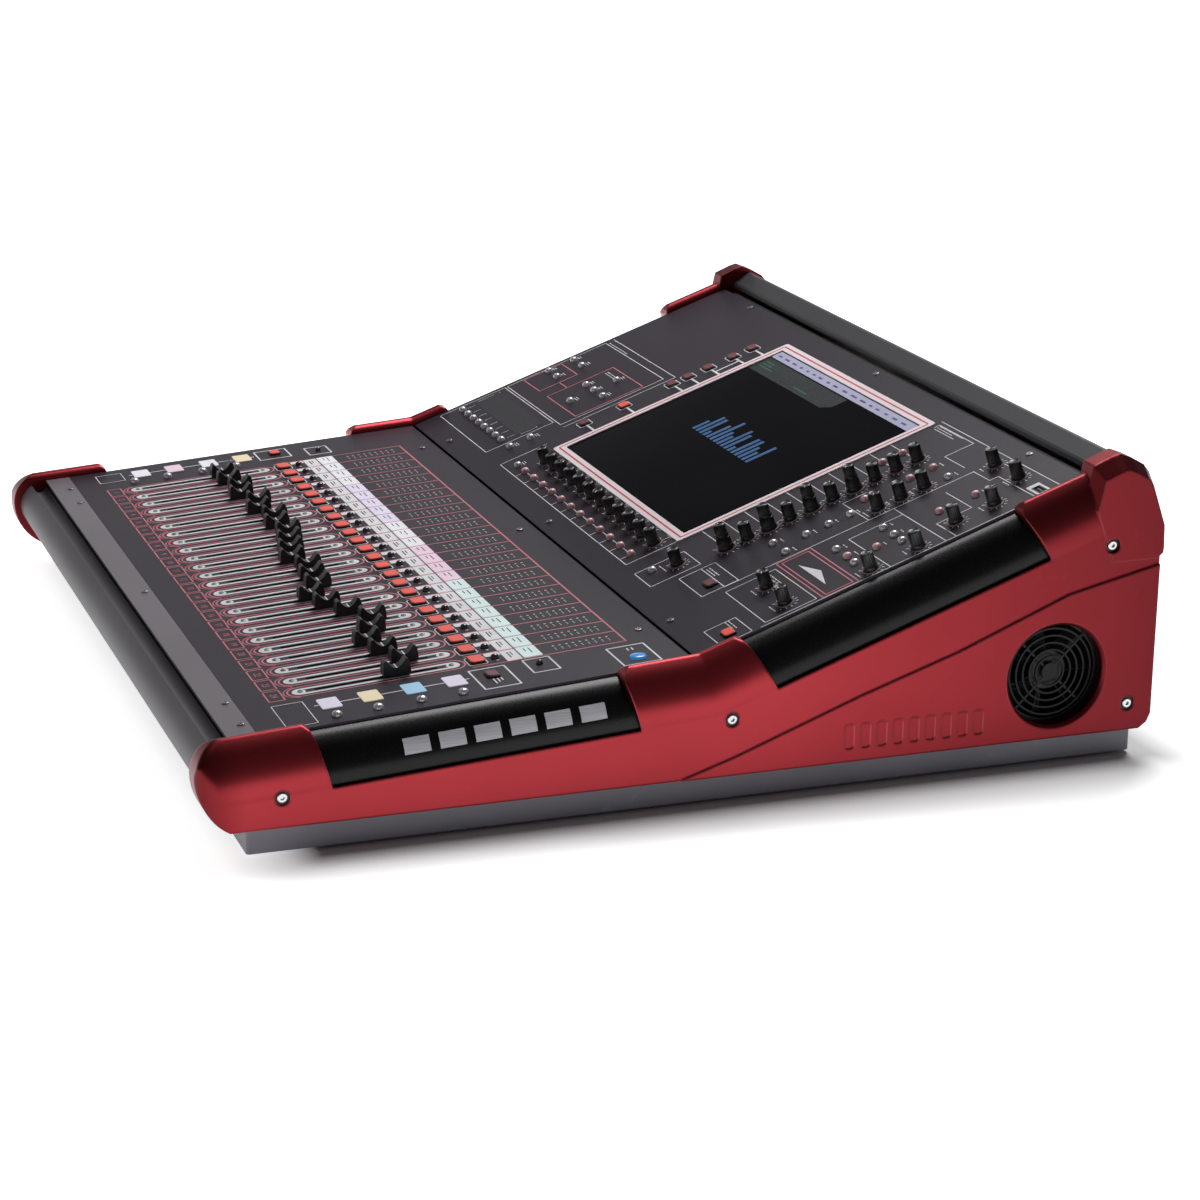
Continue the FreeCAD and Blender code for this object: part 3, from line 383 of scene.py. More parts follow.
def brushed(name, colour, rough, axis_scale=(1, 1, 60), metallic=1.0):
    """Metal with fine parallel brush lines."""
    material, nodes, links, shader = new_material(name)
    coord = nodes.new("ShaderNodeTexCoord")
    stretch = nodes.new("ShaderNodeMapping")
    stretch.inputs["Scale"].default_value = axis_scale
    links.new(coord.outputs["Object"], stretch.inputs["Vector"])
    lines = nodes.new("ShaderNodeTexNoise")
    lines.inputs["Scale"].default_value = 40
    lines.inputs["Detail"].default_value = 5
    links.new(stretch.outputs["Vector"], lines.inputs["Vector"])
    colours = ramp(nodes, links, lines.outputs["Fac"],
                   [(0.3, tint(colour, 0.8)), (0.7, tint(colour, 1.15))])
    gloss = ramp(nodes, links, lines.outputs["Fac"],
                 [(0.3, (rough * 0.8,) * 3), (0.7, (rough * 1.3,) * 3)])
    links.new(colours.outputs["Color"], shader.inputs["Base Color"])
    links.new(gloss.outputs["Color"], shader.inputs["Roughness"])
    shader.inputs["Metallic"].default_value = metallic
    return material


RED_PAINT = surface("cheek_paint", (0.33, 0.030, 0.038), 0.34, metallic=0.93, spread=0.08, patch=5,
                    grain=1500, bump=0.10, scuffs=0.08, specular=0.4)
# painted highlight: the cheek paint is lighter along its edges, where light catches them
edge_highlight(RED_PAINT, (0.62, 0.16, 0.18), 0.0012, 0.6, 0.003)
# painted shade on the cheeks' paint at the nose and towards the rear: place along the console, factor
CHEEK_PAINTED_SHADE = [(0.0, 0.35), (0.045, 1.0), (0.6, 1.0), (0.8, 0.72), (1.0, 0.42)]
paint_shade_along(RED_PAINT, CHEEK_PAINTED_SHADE, cad_bounds[1][1])
DECK_PAINT = surface("deck_paint", (0.030, 0.023, 0.033), 0.40, spread=0.08, patch=4, grain=2200, bump=0.16,
                     scuffs=0.08, specular=0.21)
RAIL_PAINT = surface("rail_paint", (0.185, 0.165, 0.183), 0.36, spread=0.08, patch=4, grain=2200, bump=0.14)
PALM_PAINT = surface("palm_paint", (0.098, 0.091, 0.098), 0.5, spread=0.10, patch=4, grain=2000, bump=0.12,
                     scuffs=0.2, specular=0.3)
BAR_PAINT = surface("bar_paint", (0.045, 0.044, 0.048), 0.42, spread=0.08, patch=4, grain=2000, bump=0.14)
TRIM_GLOSS = surface("trim_gloss", (0.003, 0.003, 0.0035), 0.26, spread=0.2, patch=6, grain=500, bump=0.003,
                     specular=0.22)
TRAY_PAINT = surface("tray_paint", (0.22, 0.22, 0.255), 0.5, spread=0.12, patch=5, grain=1800, bump=0.2,
                     scuffs=0.25, specular=0.35)
CAP_PLASTIC = surface("cap_plastic", (0.012, 0.012, 0.013), 0.42, spread=0.2, patch=60, grain=2500,
                      bump=0.12)
KNOB_PLASTIC = surface("knob_plastic", (0.006, 0.006, 0.007), 0.32, spread=0.2, patch=80, grain=2500,
                       bump=0.15)
LIT_RED = surface("key_red_lit", (0.72, 0.075, 0.055), 0.4, spread=0.10, patch=70, grain=2000, bump=0.05,
                  glow=(0.9, 0.08, 0.05), glow_strength=0.3, coat=0.3)
DIM_RED = surface("key_red_dim", (0.20, 0.035, 0.045), 0.45, spread=0.15, patch=70, grain=2000,
                  bump=0.05, coat=0.2)
BLUE_LIT = surface("key_blue_lit", (0.04, 0.22, 0.50), 0.25, spread=0.3, patch=120, grain=2000, bump=0.03,
                   glow=(0.04, 0.26, 0.70), glow_strength=0.45, coat=0.6)
KEY_BASE = surface("key_base", (0.014, 0.008, 0.009), 0.4, spread=0.2, patch=70, grain=2000, bump=0.08)
DARK_KEY = surface("key_dark", (0.10, 0.085, 0.095), 0.18, metallic=0.7, spread=0.2, patch=90, grain=2000,
                   bump=0.03, coat=0.4)
WHITE_DOME = surface("dome_pale", (0.74, 0.73, 0.75), 0.18, metallic=0.45, spread=0.12, patch=90, grain=900,
                     bump=0.02)
PINK_DOME = surface("dome_pink", (0.80, 0.45, 0.48), 0.25, spread=0.15, patch=90, grain=900,
                    bump=0.02, coat=0.6)
PRINT_WHITE = surface("print_white", (0.82, 0.82, 0.84), 0.55, spread=0.12, patch=30, grain=1500, bump=0.03)
PRINT_PINK = surface("print_pink", (0.66, 0.19, 0.24), 0.55, spread=0.12, patch=30, grain=1500, bump=0.03)
PRINT_PALE = surface("print_pale", (0.92, 0.90, 0.93), 0.5, spread=0.06, patch=25, grain=1500, bump=0.03)
# dark print; the same dark is also used as painted shade in the cheek screw wells
DARK_PRINT_AND_SHADE = surface("print_dark", (0.016, 0.016, 0.02), 0.5, spread=0.2, patch=25, grain=1500, bump=0.03)
LED_DULL = surface("led_dull", (0.56, 0.54, 0.55), 0.3, spread=0.15, patch=90, grain=900, bump=0.02)
RING_CLEAR = surface("ring_clear", (0.40, 0.30, 0.32), 0.18, metallic=0.4, spread=0.3, patch=200, grain=900,
                     bump=0.02, coat=0.5)
FRAME_PRINT = surface("frame_print", (0.95, 0.82, 0.85), 0.4, spread=0.05, patch=20, grain=1500, bump=0.03)
FRAME_RED = surface("frame_red", (0.62, 0.05, 0.09), 0.4, spread=0.08, patch=20, grain=1500, bump=0.03)
GLASS = surface("screen_glass", (0.003, 0.003, 0.004), 0.06, spread=0.3, patch=8, grain=400, bump=0.004,
                specular=0.16)
SCREEN_BAR = surface("screen_bar", (0.42, 0.42, 0.58), 0.25, spread=0.06, patch=40, grain=900, bump=0.01,
                     glow=(0.45, 0.45, 0.62), glow_strength=0.18)
SCREEN_DASH = surface("screen_dash", (0.10, 0.10, 0.20), 0.3, spread=0.1, patch=40, grain=900, bump=0.01)
SCREEN_PANE = surface("screen_pane", (0.018, 0.022, 0.022), 0.25, spread=0.2, patch=40, grain=900,
                      bump=0.01, glow=(0.03, 0.036, 0.034), glow_strength=0.25)
SCREEN_GREEN = surface("screen_green", (0.02, 0.10, 0.07), 0.3, spread=0.2, patch=40, grain=900, bump=0.01,
                       glow=(0.02, 0.2, 0.12), glow_strength=0.2)
SCREEN_BLUE = surface("screen_blue", (0.03, 0.10, 0.24), 0.3, spread=0.2, patch=40, grain=900, bump=0.01,
                      glow=(0.04, 0.12, 0.30), glow_strength=0.2)
INLAY = brushed("trim_inlay", (0.62, 0.62, 0.66), 0.4, metallic=0.2)
SCREW_BRIGHT = brushed("screw_bright", (0.62, 0.62, 0.63), 0.2, (30, 30, 30))
SCREW_DARK = surface("screw_plated", (0.40, 0.40, 0.41), 0.28, metallic=0.95, spread=0.2, patch=90,
                     grain=900, bump=0.1)
STEEL = brushed("chassis_steel", (0.42, 0.42, 0.43), 0.34, (50, 1, 1))
WIRE = brushed("guard_wire", (0.012, 0.012, 0.013), 0.4, (30, 30, 30), metallic=0.7)
FAN_PLASTIC = surface("fan_plastic", (0.006, 0.006, 0.006), 0.5, spread=0.2, patch=20, grain=1200, bump=0.1)
SOCKET_PLASTIC = surface("socket_plastic", (0.02, 0.02, 0.022), 0.35, spread=0.2, patch=60, grain=1200,
                         bump=0.08)
RUBBER = surface("foot_rubber", (0.02, 0.02, 0.02), 0.85, spread=0.2, patch=60, grain=900, bump=0.3)
REAR_PAINT = surface("rear_paint", (0.025, 0.025, 0.028), 0.55, spread=0.12, patch=5, grain=1800, bump=0.22,
                     scuffs=0.2)
BOARD = surface("board_green", (0.01, 0.07, 0.03), 0.4, spread=0.2, patch=30, grain=700, bump=0.1)

WINDOW_TINTS = {
    "lavender": (0.72, 0.66, 0.80),
    "white": (0.78, 0.77, 0.82),
    "pink": (0.78, 0.58, 0.70),
    "aqua": (0.66, 0.78, 0.78),
    "sky": (0.36, 0.60, 0.80),
    "yellow": (0.82, 0.70, 0.48),
}
WINDOWS = {name: surface("window_" + name, colour, 0.3, spread=0.06, patch=60, grain=900, bump=0.02,
                         glow=colour, glow_strength=0.3)
           for name, colour in WINDOW_TINTS.items()}

NODE_FINISH = {
    "right_cheek": RED_PAINT, "left_cheek": RED_PAINT, "right_trim": TRIM_GLOSS, "left_trim": TRIM_GLOSS,
    "cheek_screws": SCREW_BRIGHT, "base_tray": TRAY_PAINT, "feet": RUBBER, "inner_chassis": REAR_PAINT,
    "front_rail": RAIL_PAINT, "palm_rest": PALM_PAINT, "rear_bar": BAR_PAINT, "rear_panel": REAR_PAINT,
    "fader_panel": DECK_PAINT, "screen_panel": DECK_PAINT, "deck_screws": SCREW_DARK,
    "display_module": GLASS, "display_bezel": FRAME_PRINT, "fader_modules": STEEL,
    "circuit_boards": BOARD, "power_supply": STEEL, "fan_housings": FAN_PLASTIC,
    "fan_rotors": FAN_PLASTIC, "fan_guards": WIRE, "signal_sockets": SOCKET_PLASTIC,
    "mains_inlet": SOCKET_PLASTIC, "power_switch": SOCKET_PLASTIC,
}
for node, finish in NODE_FINISH.items():
    for material_slot in frame["nodes"][node].material_slots:
        material_slot.material = finish


# ------------------------------------------------------------------ fader deck controls
CAP_HALF_WIDTH, CAP_TOP = 5.5, 15.0
STEM_HALF_WIDTH, STEM_HALF_LENGTH = 1.2, 2.6


def cap_profile():
    """Side outline of a fader cap: two horns with a saddle between them."""
    points = [(-11.4, 1.0), (11.4, 1.0), (12.0, 3.0), (11.9, 8.6), (10.9, 13.4), (9.6, 15.0), (8.2, 14.9)]
    steps = 10
    for k in range(1, steps):
        t = 1 - 2 * k / steps
        points.append((8.2 * t, 8.2 + 6.7 * t * t))
    return points + [(-8.2, 14.9), (-9.6, 15.0), (-10.9, 13.4), (-11.9, 8.6), (-12.0, 3.0)]


def cap_half_width(z):
    """The cap narrows a little towards its horns."""
    return CAP_HALF_WIDTH - 0.7 * max(0.0, z - 3.0) / (CAP_TOP - 3.0)


def make_fader_caps():
    for index, x in enumerate(CHANNEL_X):
        name = "fader_cap_%02d" % (index + 1)
        low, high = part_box(name)
        centre = Vector(((low[0] + high[0]) / 2, (low[1] + high[1]) / 2, (low[2] + high[2]) / 2))
        local = FADER_DECK.inverted() @ centre
        v = local.y
        outline = cap_profile()
        n = len(outline)
        kit = Kit()
        points = [(x + side * cap_half_width(z), v + y, z) for side in (-1, 1) for y, z in outline]
        faces = [list(range(n)), list(range(n, 2 * n))[::-1]]
        faces += [[i, n + i, n + (i + 1) % n, (i + 1) % n] for i in range(n)]
        kit.add(points, faces)
        kit.box(x - STEM_HALF_WIDTH, x + STEM_HALF_WIDTH, v - STEM_HALF_LENGTH, v + STEM_HALF_LENGTH,
                -11, 1.4)
        cap = kit.build(name + "_moulding", FADER_DECK, CAP_PLASTIC, name, "cap_black", bevel=0.55)
        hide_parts(name)
        line = Kit()
        line.box(x - 4.9, x + 4.9, v - 0.5, v + 0.5, 8.0, 8.42)
        line.build(name + "_line", FADER_DECK, PRINT_WHITE, name, "cap_black")


def key_block(base, lens, x, v, across, along, height, radius=1.8):
    """A dark moulded block with a coloured lens let into its top."""
    outline = rounded(x - across / 2, x + across / 2, v - along / 2, v + along / 2, radius)
    base.prism(grow(outline, 0.8), -4.0, height - 0.9)
    lens.prism(outline, height - 1.3, height)


def make_fader_deck_keys():
    base, lit, dim = Kit(), Kit(), Kit()
    for x in CHANNEL_X:
        key_block(base, lit, x, MUTE_V, 15.2, 12.2, 3.0, 3.2)
    for x, v in FADER_KEYS:
        key_block(base, lit if (x, v) in LIT_FADER_KEYS else dim, x, v, 12.4, 9.4, 2.6, 2.4)
    for kit, name, finish in ((base, "mute_key_blocks", KEY_BASE), (lit, "mute_keys_lit", LIT_RED),
                              (dim, "section_keys_dim", DIM_RED)):
        keys = kit.build(name, FADER_DECK, finish, "mute_key_bank", "key_red", bevel=0.45)
        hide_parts("mute_keys")
    small = Kit()
    profile = [(3.5, -4.0), (3.5, 1.4), (3.2, 2.4), (2.4, 3.2), (1.3, 3.7), (0.2, 3.8)]
    for x in CHANNEL_X:
        small.lathe(profile, x, SELECT_V, 20)
    for x, v, r in SMALL_ROUND_KEYS:
        small.lathe([(p * r / 3.5, z) for p, z in profile], x, v, 20)
    select = small.build("select_keys_round", FADER_DECK, DARK_KEY, "select_key_bank", "key_dark")
    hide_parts("select_keys")
    bright = Kit()
    for x, v in LABEL_KEYS:
        bright.lathe([(p * 4.3 / 3.5, z * 1.15) for p, z in profile], x, v, 24)
    label_keys = bright.build("label_keys", FADER_DECK, WHITE_DOME, "select_key_bank", "key_dark")
    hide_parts("select_keys")
    x, v, r = BLUE_KEY
    glow = Kit()
    glow.lathe([(r, -4.0), (r, 1.4), (r - 0.5, 2.0), (r - 1.6, 2.4), (0.5, 2.6)], x, v, 36)
    blue = glow.build("blue_key", FADER_DECK, BLUE_LIT, "select_key_bank", "key_dark")
    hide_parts("select_keys")


def window_tint(index):
    """The lit windows change colour along the deck."""
    bank = ["white"] * 4 + ["lavender"] * 5 + ["white"] * 3 + ["pink"] * 4 + ["aqua"] * 8
    return bank[index]


def make_windows():
    kits = {name: Kit() for name in WINDOWS}
    for index, x in enumerate(CHANNEL_X):
        pane = rounded(x - WINDOW_HALF, x + WINDOW_HALF,
                       WINDOW_V - WINDOW_HALF_V, WINDOW_V + WINDOW_HALF_V, 1.0)
        kits[window_tint(index)].prism(pane, 0, WINDOW_TOP)
    near = ["lavender", "sky", "yellow", "lavender"]
    far = ["yellow", "white", "pink", "white"]
    for x, tints in zip(LABEL_X, (near, far)):
        for v, name in zip(LABEL_ROWS, tints):
            kits[name].prism(rounded(x - 12, x + 12, v - 8.5, v + 8.5, 1.6), 0, WINDOW_TOP)
    for name, kit in kits.items():
        tile = kit.build("windows_" + name, FADER_DECK, WINDOWS[name], ROOT, "label_lit")
        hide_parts("channel_displays")


# ------------------------------------------------------------------ screen deck controls
RIBS = 16


def knob_shape(kit, x, v, radius, base, height, steps=64):
    """A knob with a plain skirt, a fluted grip and a slightly dished top."""
    top = base + height
    skirt = [(radius - 1.2, base), (radius, base + 0.7), (radius, base + 3.2), (radius - 0.5, base + 3.9)]
    grip = [(radius - 0.6, base + 4.2), (radius - 0.7, top - 1.6), (radius - 1.0, top - 0.6)]
    crown = [(radius - 1.9, top), (radius - 2.6, top - 0.3), (0.6, top - 0.5)]
    kit.lathe(skirt + grip + crown, x, v, steps, RIBS, 0.55, (base + 4.0, top - 1.0))


def shaft(kit, x, v):
    kit.lathe([(3.0, -7.0), (3.0, 0.9)], x, v, 20)


def pointer(kit, x, v, radius, top, turn):
    """White mark on a knob's top."""
    ca, sa = math.cos(turn), math.sin(turn)

    def spot(along, across):
        return (x + along * ca - across * sa, v + along * sa + across * ca)

    kit.prism([spot(1.4, -0.45), spot(radius - 1.1, -0.45), spot(radius - 1.1, 0.45), spot(1.4, 0.45)],
              top - 0.6, top + 0.12)


def led_ring(kit, x, v, radius):
    """A clear ring on the deck round a knob's skirt."""
    outer = radius + 1.4
    kit.frame(rounded(x - outer, x + outer, v - outer, v + outer, outer - 0.01, 8),
              rounded(x - radius, x + radius, v - radius, v + radius, radius - 0.01, 8), SUNK, 1.1)


def make_knobs():
    rng = random.Random(4)
    singles = Kit()
    marks = Kit()
    rings = Kit()
    for x, v in SINGLE_KNOBS:
        knob_shape(singles, x, v, 6.4, 0.8, 16.0)
        shaft(singles, x, v)
        pointer(marks, x, v, 6.4, 16.5, rng.uniform(0, 2 * math.pi))
        led_ring(rings, x, v, 7.2)
    knobs = singles.build("knobs_single", SCREEN_DECK, KNOB_PLASTIC, ROOT, "knob_dark")
    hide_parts("single_knobs")
    marks.build("knob_marks", SCREEN_DECK, PRINT_WHITE, ROOT, "knob_dark")
    for index, (x, v) in enumerate(DOUBLE_KNOBS):
        name = "double_knob_%d" % (index + 1)
        kit = Kit()
        knob_shape(kit, x, v, 7.4, 0.8, 12.2)
        knob_shape(kit, x, v, 6.3, 12.4, 12.8)
        kit.lathe([(3.0, 12.0), (3.0, 13.4)], x, v, 20)
        shaft(kit, x, v)
        piece = kit.build(name + "_tiers", SCREEN_DECK, KNOB_PLASTIC, name, "knob_dark")
        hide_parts(name)
        mark = Kit()
        pointer(mark, x, v, 6.3, 24.8, rng.uniform(0, 2 * math.pi))
        mark.build(name + "_mark", SCREEN_DECK, PRINT_WHITE, name, "knob_dark")
        led_ring(rings, x, v, 8.4)
    rings.build("knob_light_rings", SCREEN_DECK, RING_CLEAR, ROOT, "dome_pink")


def dome(kit, x, v, radius=4.0):
    kit.lathe([(radius, -4.0), (radius, 1.6), (radius * 0.94, 2.6), (radius * 0.76, 3.6),
               (radius * 0.48, 4.25), (radius * 0.12, 4.5)], x, v, 20)


def make_domes():
    pale, pink = Kit(), Kit()
    for x, v in WHITE_DOMES + LEFT_ROW:
        dome(pale, x, v)
    for x, v in PINK_DOMES + DOME_ROW:
        dome(pink, x, v)
    pale_domes = pale.build("domes_pale", SCREEN_DECK, WHITE_DOME, "dome_button_bank", "dome_pink")
    pink_domes = pink.build("domes_pink", SCREEN_DECK, PINK_DOME, "dome_button_bank", "dome_pink")
    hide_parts("dome_buttons")
    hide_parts("dome_buttons")


def make_screen_keys():
    base, lit, dim = Kit(), Kit(), Kit()
    for x, v in SCREEN_KEYS:
        key_block(base, lit if (x, v) in LIT_SCREEN_KEYS else dim, x, v, 12.4, 9.4, 2.6, 2.4)
    for kit, name, finish in ((base, "screen_key_blocks", KEY_BASE), (lit, "screen_keys_lit", LIT_RED),
                              (dim, "screen_keys_dim", DIM_RED)):
        keys = kit.build(name, SCREEN_DECK, finish, "screen_key_bank", "key_red", bevel=0.45)
        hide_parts("screen_keys")


# ------------------------------------------------------------------ printing on the fader deck
LINE = 0.8                     # widths of the printed lines
BOLD = 1.6


def box_line(kit, x0, x1, v0, v1, width=LINE, radius=0.6):
    kit.outline(rounded(x0, x1, v0, v1, radius, 3), width)


def number_mesh(kit, text, x, v, size):
    """Adds a small printed number as thin solids."""
    curve = bpy.data.curves.new("digits", "FONT")
    curve.body = text
    curve.size = size
    curve.align_x = "CENTER"
    curve.align_y = "CENTER"
    curve.extrude = 0.12
    curve.resolution_u = 2
    holder = bpy.data.objects.new("digits", curve)
    mesh = bpy.data.meshes.new_from_object(holder)
    points = [(x + p.co.x, v + p.co.y, p.co.z + 0.05) for p in mesh.vertices]
    kit.add(points, [list(face.vertices) for face in mesh.polygons])
    bpy.data.meshes.remove(mesh)
    bpy.data.objects.remove(holder)
    bpy.data.curves.remove(curve)


def print_strip(white, pink, pale, dark, leds, index, x):
    half = PITCH / 2
    pink.stroke([(x - half, -172), (x - half, -36.6)], BOLD)
    pink.stroke([(x - half, -36.6), (x + half, -36.6)], BOLD)
    for k in range(9):
        v = -48 - k * 6.0
        leds.lathe([(1.15, SUNK), (1.15, 0.25), (0.4, 0.55)], x - 3.6, v, 10)
        white.box(x + 1.2, x + 2.6, v - 0.5, v + 0.5, SUNK, INK)
        white.box(x + 4.6, x + 6.0, v - 0.5, v + 0.5, SUNK, INK)
    pale.prism(rounded(x - WINDOW_HALF, x + WINDOW_HALF, -141.5, -128.2, 1.0), SUNK, 0.16)
    pale.prism(rounded(x - WINDOW_HALF, x - 5.0, -155.5, -142.0, 1.0), SUNK, 0.16)
    dark.box(x - 8, x + 6, -136.6, -135.4, -0.1, 0.22)
    dark.box(x - 8, x + 1, -133.8, -132.8, -0.1, 0.22)
    dark.box(x - 9, x + 4, WINDOW_V + 1.4, WINDOW_V + 2.4, 0.4, 0.78)
    dark.box(x - 9, x - 1, WINDOW_V - 2.8, WINDOW_V - 1.8, 0.4, 0.78)
    leds.lathe([(1.3, -0.1), (1.3, 0.5), (0.5, 0.8)], x + 7.6, -148.9, 10)
    white.outline(rounded(x - 9.6, x + 9.6, MUTE_V - 8.1, MUTE_V + 8.1, 2.6), 1.0)
    white.outline(rounded(x - 5.5, x + 5.5, FADER_V - 70.6, FADER_V + 70.6, 5.49, 8), 3.4)
    for v in (FADER_V - FADER_SCREW_OFFSET, FADER_V + FADER_SCREW_OFFSET):
        white.prism(rounded(x - 4.6, x + 4.6, v - 4.6, v + 4.6, 4.59, 6), -0.1, 0.14)
    pink.outline(rounded(x - 10.9, x + 10.9, -328.2, -175.6, 10.89, 8), 1.6)
    arc = [math.radians(195 + 15 * k) for k in range(11)]
    pink.stroke([(x + 13.2 * math.cos(a), -317.6 + 13.8 * math.sin(a)) for a in arc], 1.3)
    box_line(pink, x - 12.4, x + 12.4, -346.6, -333.2, 1.3)
    number_mesh(pink, str(index + 1), x, -340.0, 8.5)


def print_fader_ends(white, pink):
    for side, label_x in zip((1, -1), LABEL_X):
        white.stroke([(label_x, LABEL_ROWS[0] + 12), (label_x, LABEL_ROWS[-1] - 12)], 1.4)
        outer = sorted((label_x - side * 15, label_x + side * 38 * (1 if side > 0 else 0.35)))
        box_line(white, outer[0], outer[1], -348, -322)
    for x0, x1, v0, v1 in ((347, 380, -130.8, -107.8), (350, 398, -179, -148), (355, 401, -59, -26),
                           (-399, -366, -180, -147), (-386, -358, -129, -106)):
        box_line(white, x0, x1, v0, v1, BOLD)
    for k in range(3):
        white.box(377, 389 - 3 * k, -166.4 + k * 3.4, -165.2 + k * 3.4, SUNK, INK)
    for k in range(2):
        white.box(361, 367, -43.5 + 4 * k, -42.3 + 4 * k, SUNK, INK)
    last = CHANNEL_X[-1] + PITCH / 2
    pink.stroke([(last, -172), (last, -36.6)], BOLD)


def print_fader_deck():
    white, pink, pale, dark, leds = Kit(), Kit(), Kit(), Kit(), Kit()
    for index, x in enumerate(CHANNEL_X):
        print_strip(white, pink, pale, dark, leds, index, x)
    print_fader_ends(white, pink)
    white.build("fader_print_white", FADER_DECK, PRINT_WHITE, ROOT, "deck_grey")
    pink.build("fader_print_pink", FADER_DECK, PRINT_PINK, ROOT, "deck_grey")
    pale.build("fader_print_pale", FADER_DECK, PRINT_PALE, ROOT, "deck_grey")
    dark.build("fader_print_dark", FADER_DECK, DARK_PRINT_AND_SHADE, ROOT, "deck_grey")
    leds.build("meter_lights", FADER_DECK, LED_DULL, ROOT, "label_lit")


# ------------------------------------------------------------------ printing on the screen deck
def dashes(kit, x, v, rows, length, rng, pitch=3.0):
    """Rows of short marks that stand for small printed captions."""
    for row in range(rows):
        start = x
        end = x + length * rng.uniform(0.6, 1.0)
        while start < end:
            step = rng.uniform(2.0, 5.5)
            middle = v - row * pitch
            kit.box(start, min(end, start + step), middle - 0.45, middle + 0.45, SUNK, INK)
            start += step + 1.1


def knob_scale(kit, x, v, radius, marks=11):
    """Short radial marks round a knob."""
    for k in range(marks):
        angle = math.radians(225 - 270 * k / (marks - 1))
        ca, sa = math.cos(angle), math.sin(angle)
        end = radius + 1.8
        kit.stroke([(x + ca * radius, v + sa * radius), (x + ca * end, v + sa * end)], 0.7)


def print_screen_deck():
    rng = random.Random(11)
    white, pink, dark = Kit(), Kit(), Kit()
    # ties between the red keys and the display
    for x, v in SCREEN_KEYS[:7]:
        white.stroke([(x + 8.5, v), (-GLASS_HALF - 11, v)], 2.2)
        white.outline(rounded(x - 8.4, x + 8.4, v - 6.9, v + 6.9, 2.4), 0.8)
    white.stroke([(-188, 271), (-188, 299)], 2.2)
    # display ties to the knob column
    for x, v in COLUMN:
        white.stroke([(x - 12, v), (GLASS_HALF + 11, v)], 0.7)
        knob_scale(white, x, v, 11.4 if (x, v) in DOUBLE_KNOBS else 9.4)
    for x, v in SHORT_COLUMN + SIDE_KNOBS:
        knob_scale(white, x, v, 9.6)
    for x, v in KNOB_ROW:
        knob_scale(white, x, v, 9.4, 9)
        white.stroke([(x, v + 10), (x, GLASS_V0 - 12)], 0.7)
    for (xa, va), (xb, vb) in zip(DOME_ROW, DOME_ROW[1:]):
        white.stroke([(xa + 6, va), (xb - 6, vb)], 0.6)
    white.stroke([(-195, 80), (-195, 28), (172, 28), (172, 80)], LINE)
    for x, v in DOME_ROW:
        white.stroke([(x, 28), (x, v - 5)], 0.8)
    # right-hand control groups
    white.stroke([(175, 355), (411, 355), (411, 62)], LINE)
    white.stroke([(306, 321), (306, 72), (250, 72)], LINE)
    white.stroke([(306, 321), (337, 321), (337, 330), (411, 330)], LINE)
    white.stroke([(308, 240), (411, 240)], LINE)
    white.stroke([(325, 240), (325, 186), (411, 186)], LINE)
    white.stroke([(250, 240), (250, 215), (306, 215)], LINE)
    white.stroke([(322, 285), (372, 285), (372, 250), (411, 250)], LINE)
    white.stroke([(180, 345), (180, 350), (250, 350), (250, 320), (290, 320)], LINE)
    box_line(white, 250, 305, 50, 86)
    box_line(white, 199, 240, 26, 76)
    box_line(white, 317, 406, 68, 117)
    box_line(white, 372, 410, 24, 54)
    for inset in (0.0, 4.0):
        box_line(pink, 308 + inset, 410 - inset, 121.7 + inset, 156 - inset, 1.1)
    white.frame(rounded(383, 409, 333, 346, 1.0), rounded(388.2, 403.8, 335.2, 343.8, 0.8), -0.1, 0.2)
    # a plain triangle in the pink-printed box
    white.prism([(330, 134), (388, 134), (359, 143)], -0.1, 0.14)
    # left-hand control groups
    box_line(pink, -402, -350, 128, 173, 1.1)
    box_line(pink, -325, -235, 128, 206, 1.1)
    pink.stroke([(-350, 151.4), (-325, 151.4)], 1.1)
    box_line(white, -405, -230, 109, 228)
    box_line(white, -405, -245, 29, 106)
    white.stroke([(-405, 238), (-220, 238), (-220, 109)], LINE)
    dark.prism(rounded(-398, -255, 68, 98, 2), -0.1, 0.2)
    for k in range(8):
        x = LEFT_ROW[0][0] + 19.0 * k
        white.stroke([(x, 58), (x, 66)], 0.6)
        box_line(white, x - 6.5, x + 6.5, 72, 90, 0.5)
    for x, v in WHITE_DOMES[:12] + PINK_DOMES:
        dashes(white, x - 5, v + 8.5, 1, 10, rng)
    for x, v in WHITE_DOMES[12:]:
        dashes(white, x - 5, v + 8.5, 2, 11, rng, 2.4)
    for x, v in KNOB_ROW:
        dashes(white, x - 6, 79.5, 1, 12, rng)
    for x, v in SIDE_KNOBS + SHORT_COLUMN:
        dashes(white, x - 7, v - 12.5, 1, 14, rng)
    for x, v, rows, length in ((183, 352, 3, 50), (318, 352, 2, 30), (318, 112, 3, 40), (372, 50, 2, 20),
                               (-400, 234, 1, 60), (-400, 100.5, 1, 50), (-318, 200, 2, 30),
                               (256, 81, 2, 28)):
        dashes(white, x, v - 3, rows, length, rng)
    white.build("screen_print_white", SCREEN_DECK, PRINT_WHITE, ROOT, "deck_grey")
    pink.build("screen_print_pink", SCREEN_DECK, PRINT_PINK, ROOT, "deck_grey")
    dark.build("screen_print_dark", SCREEN_DECK, DARK_PRINT_AND_SHADE, ROOT, "deck_grey")


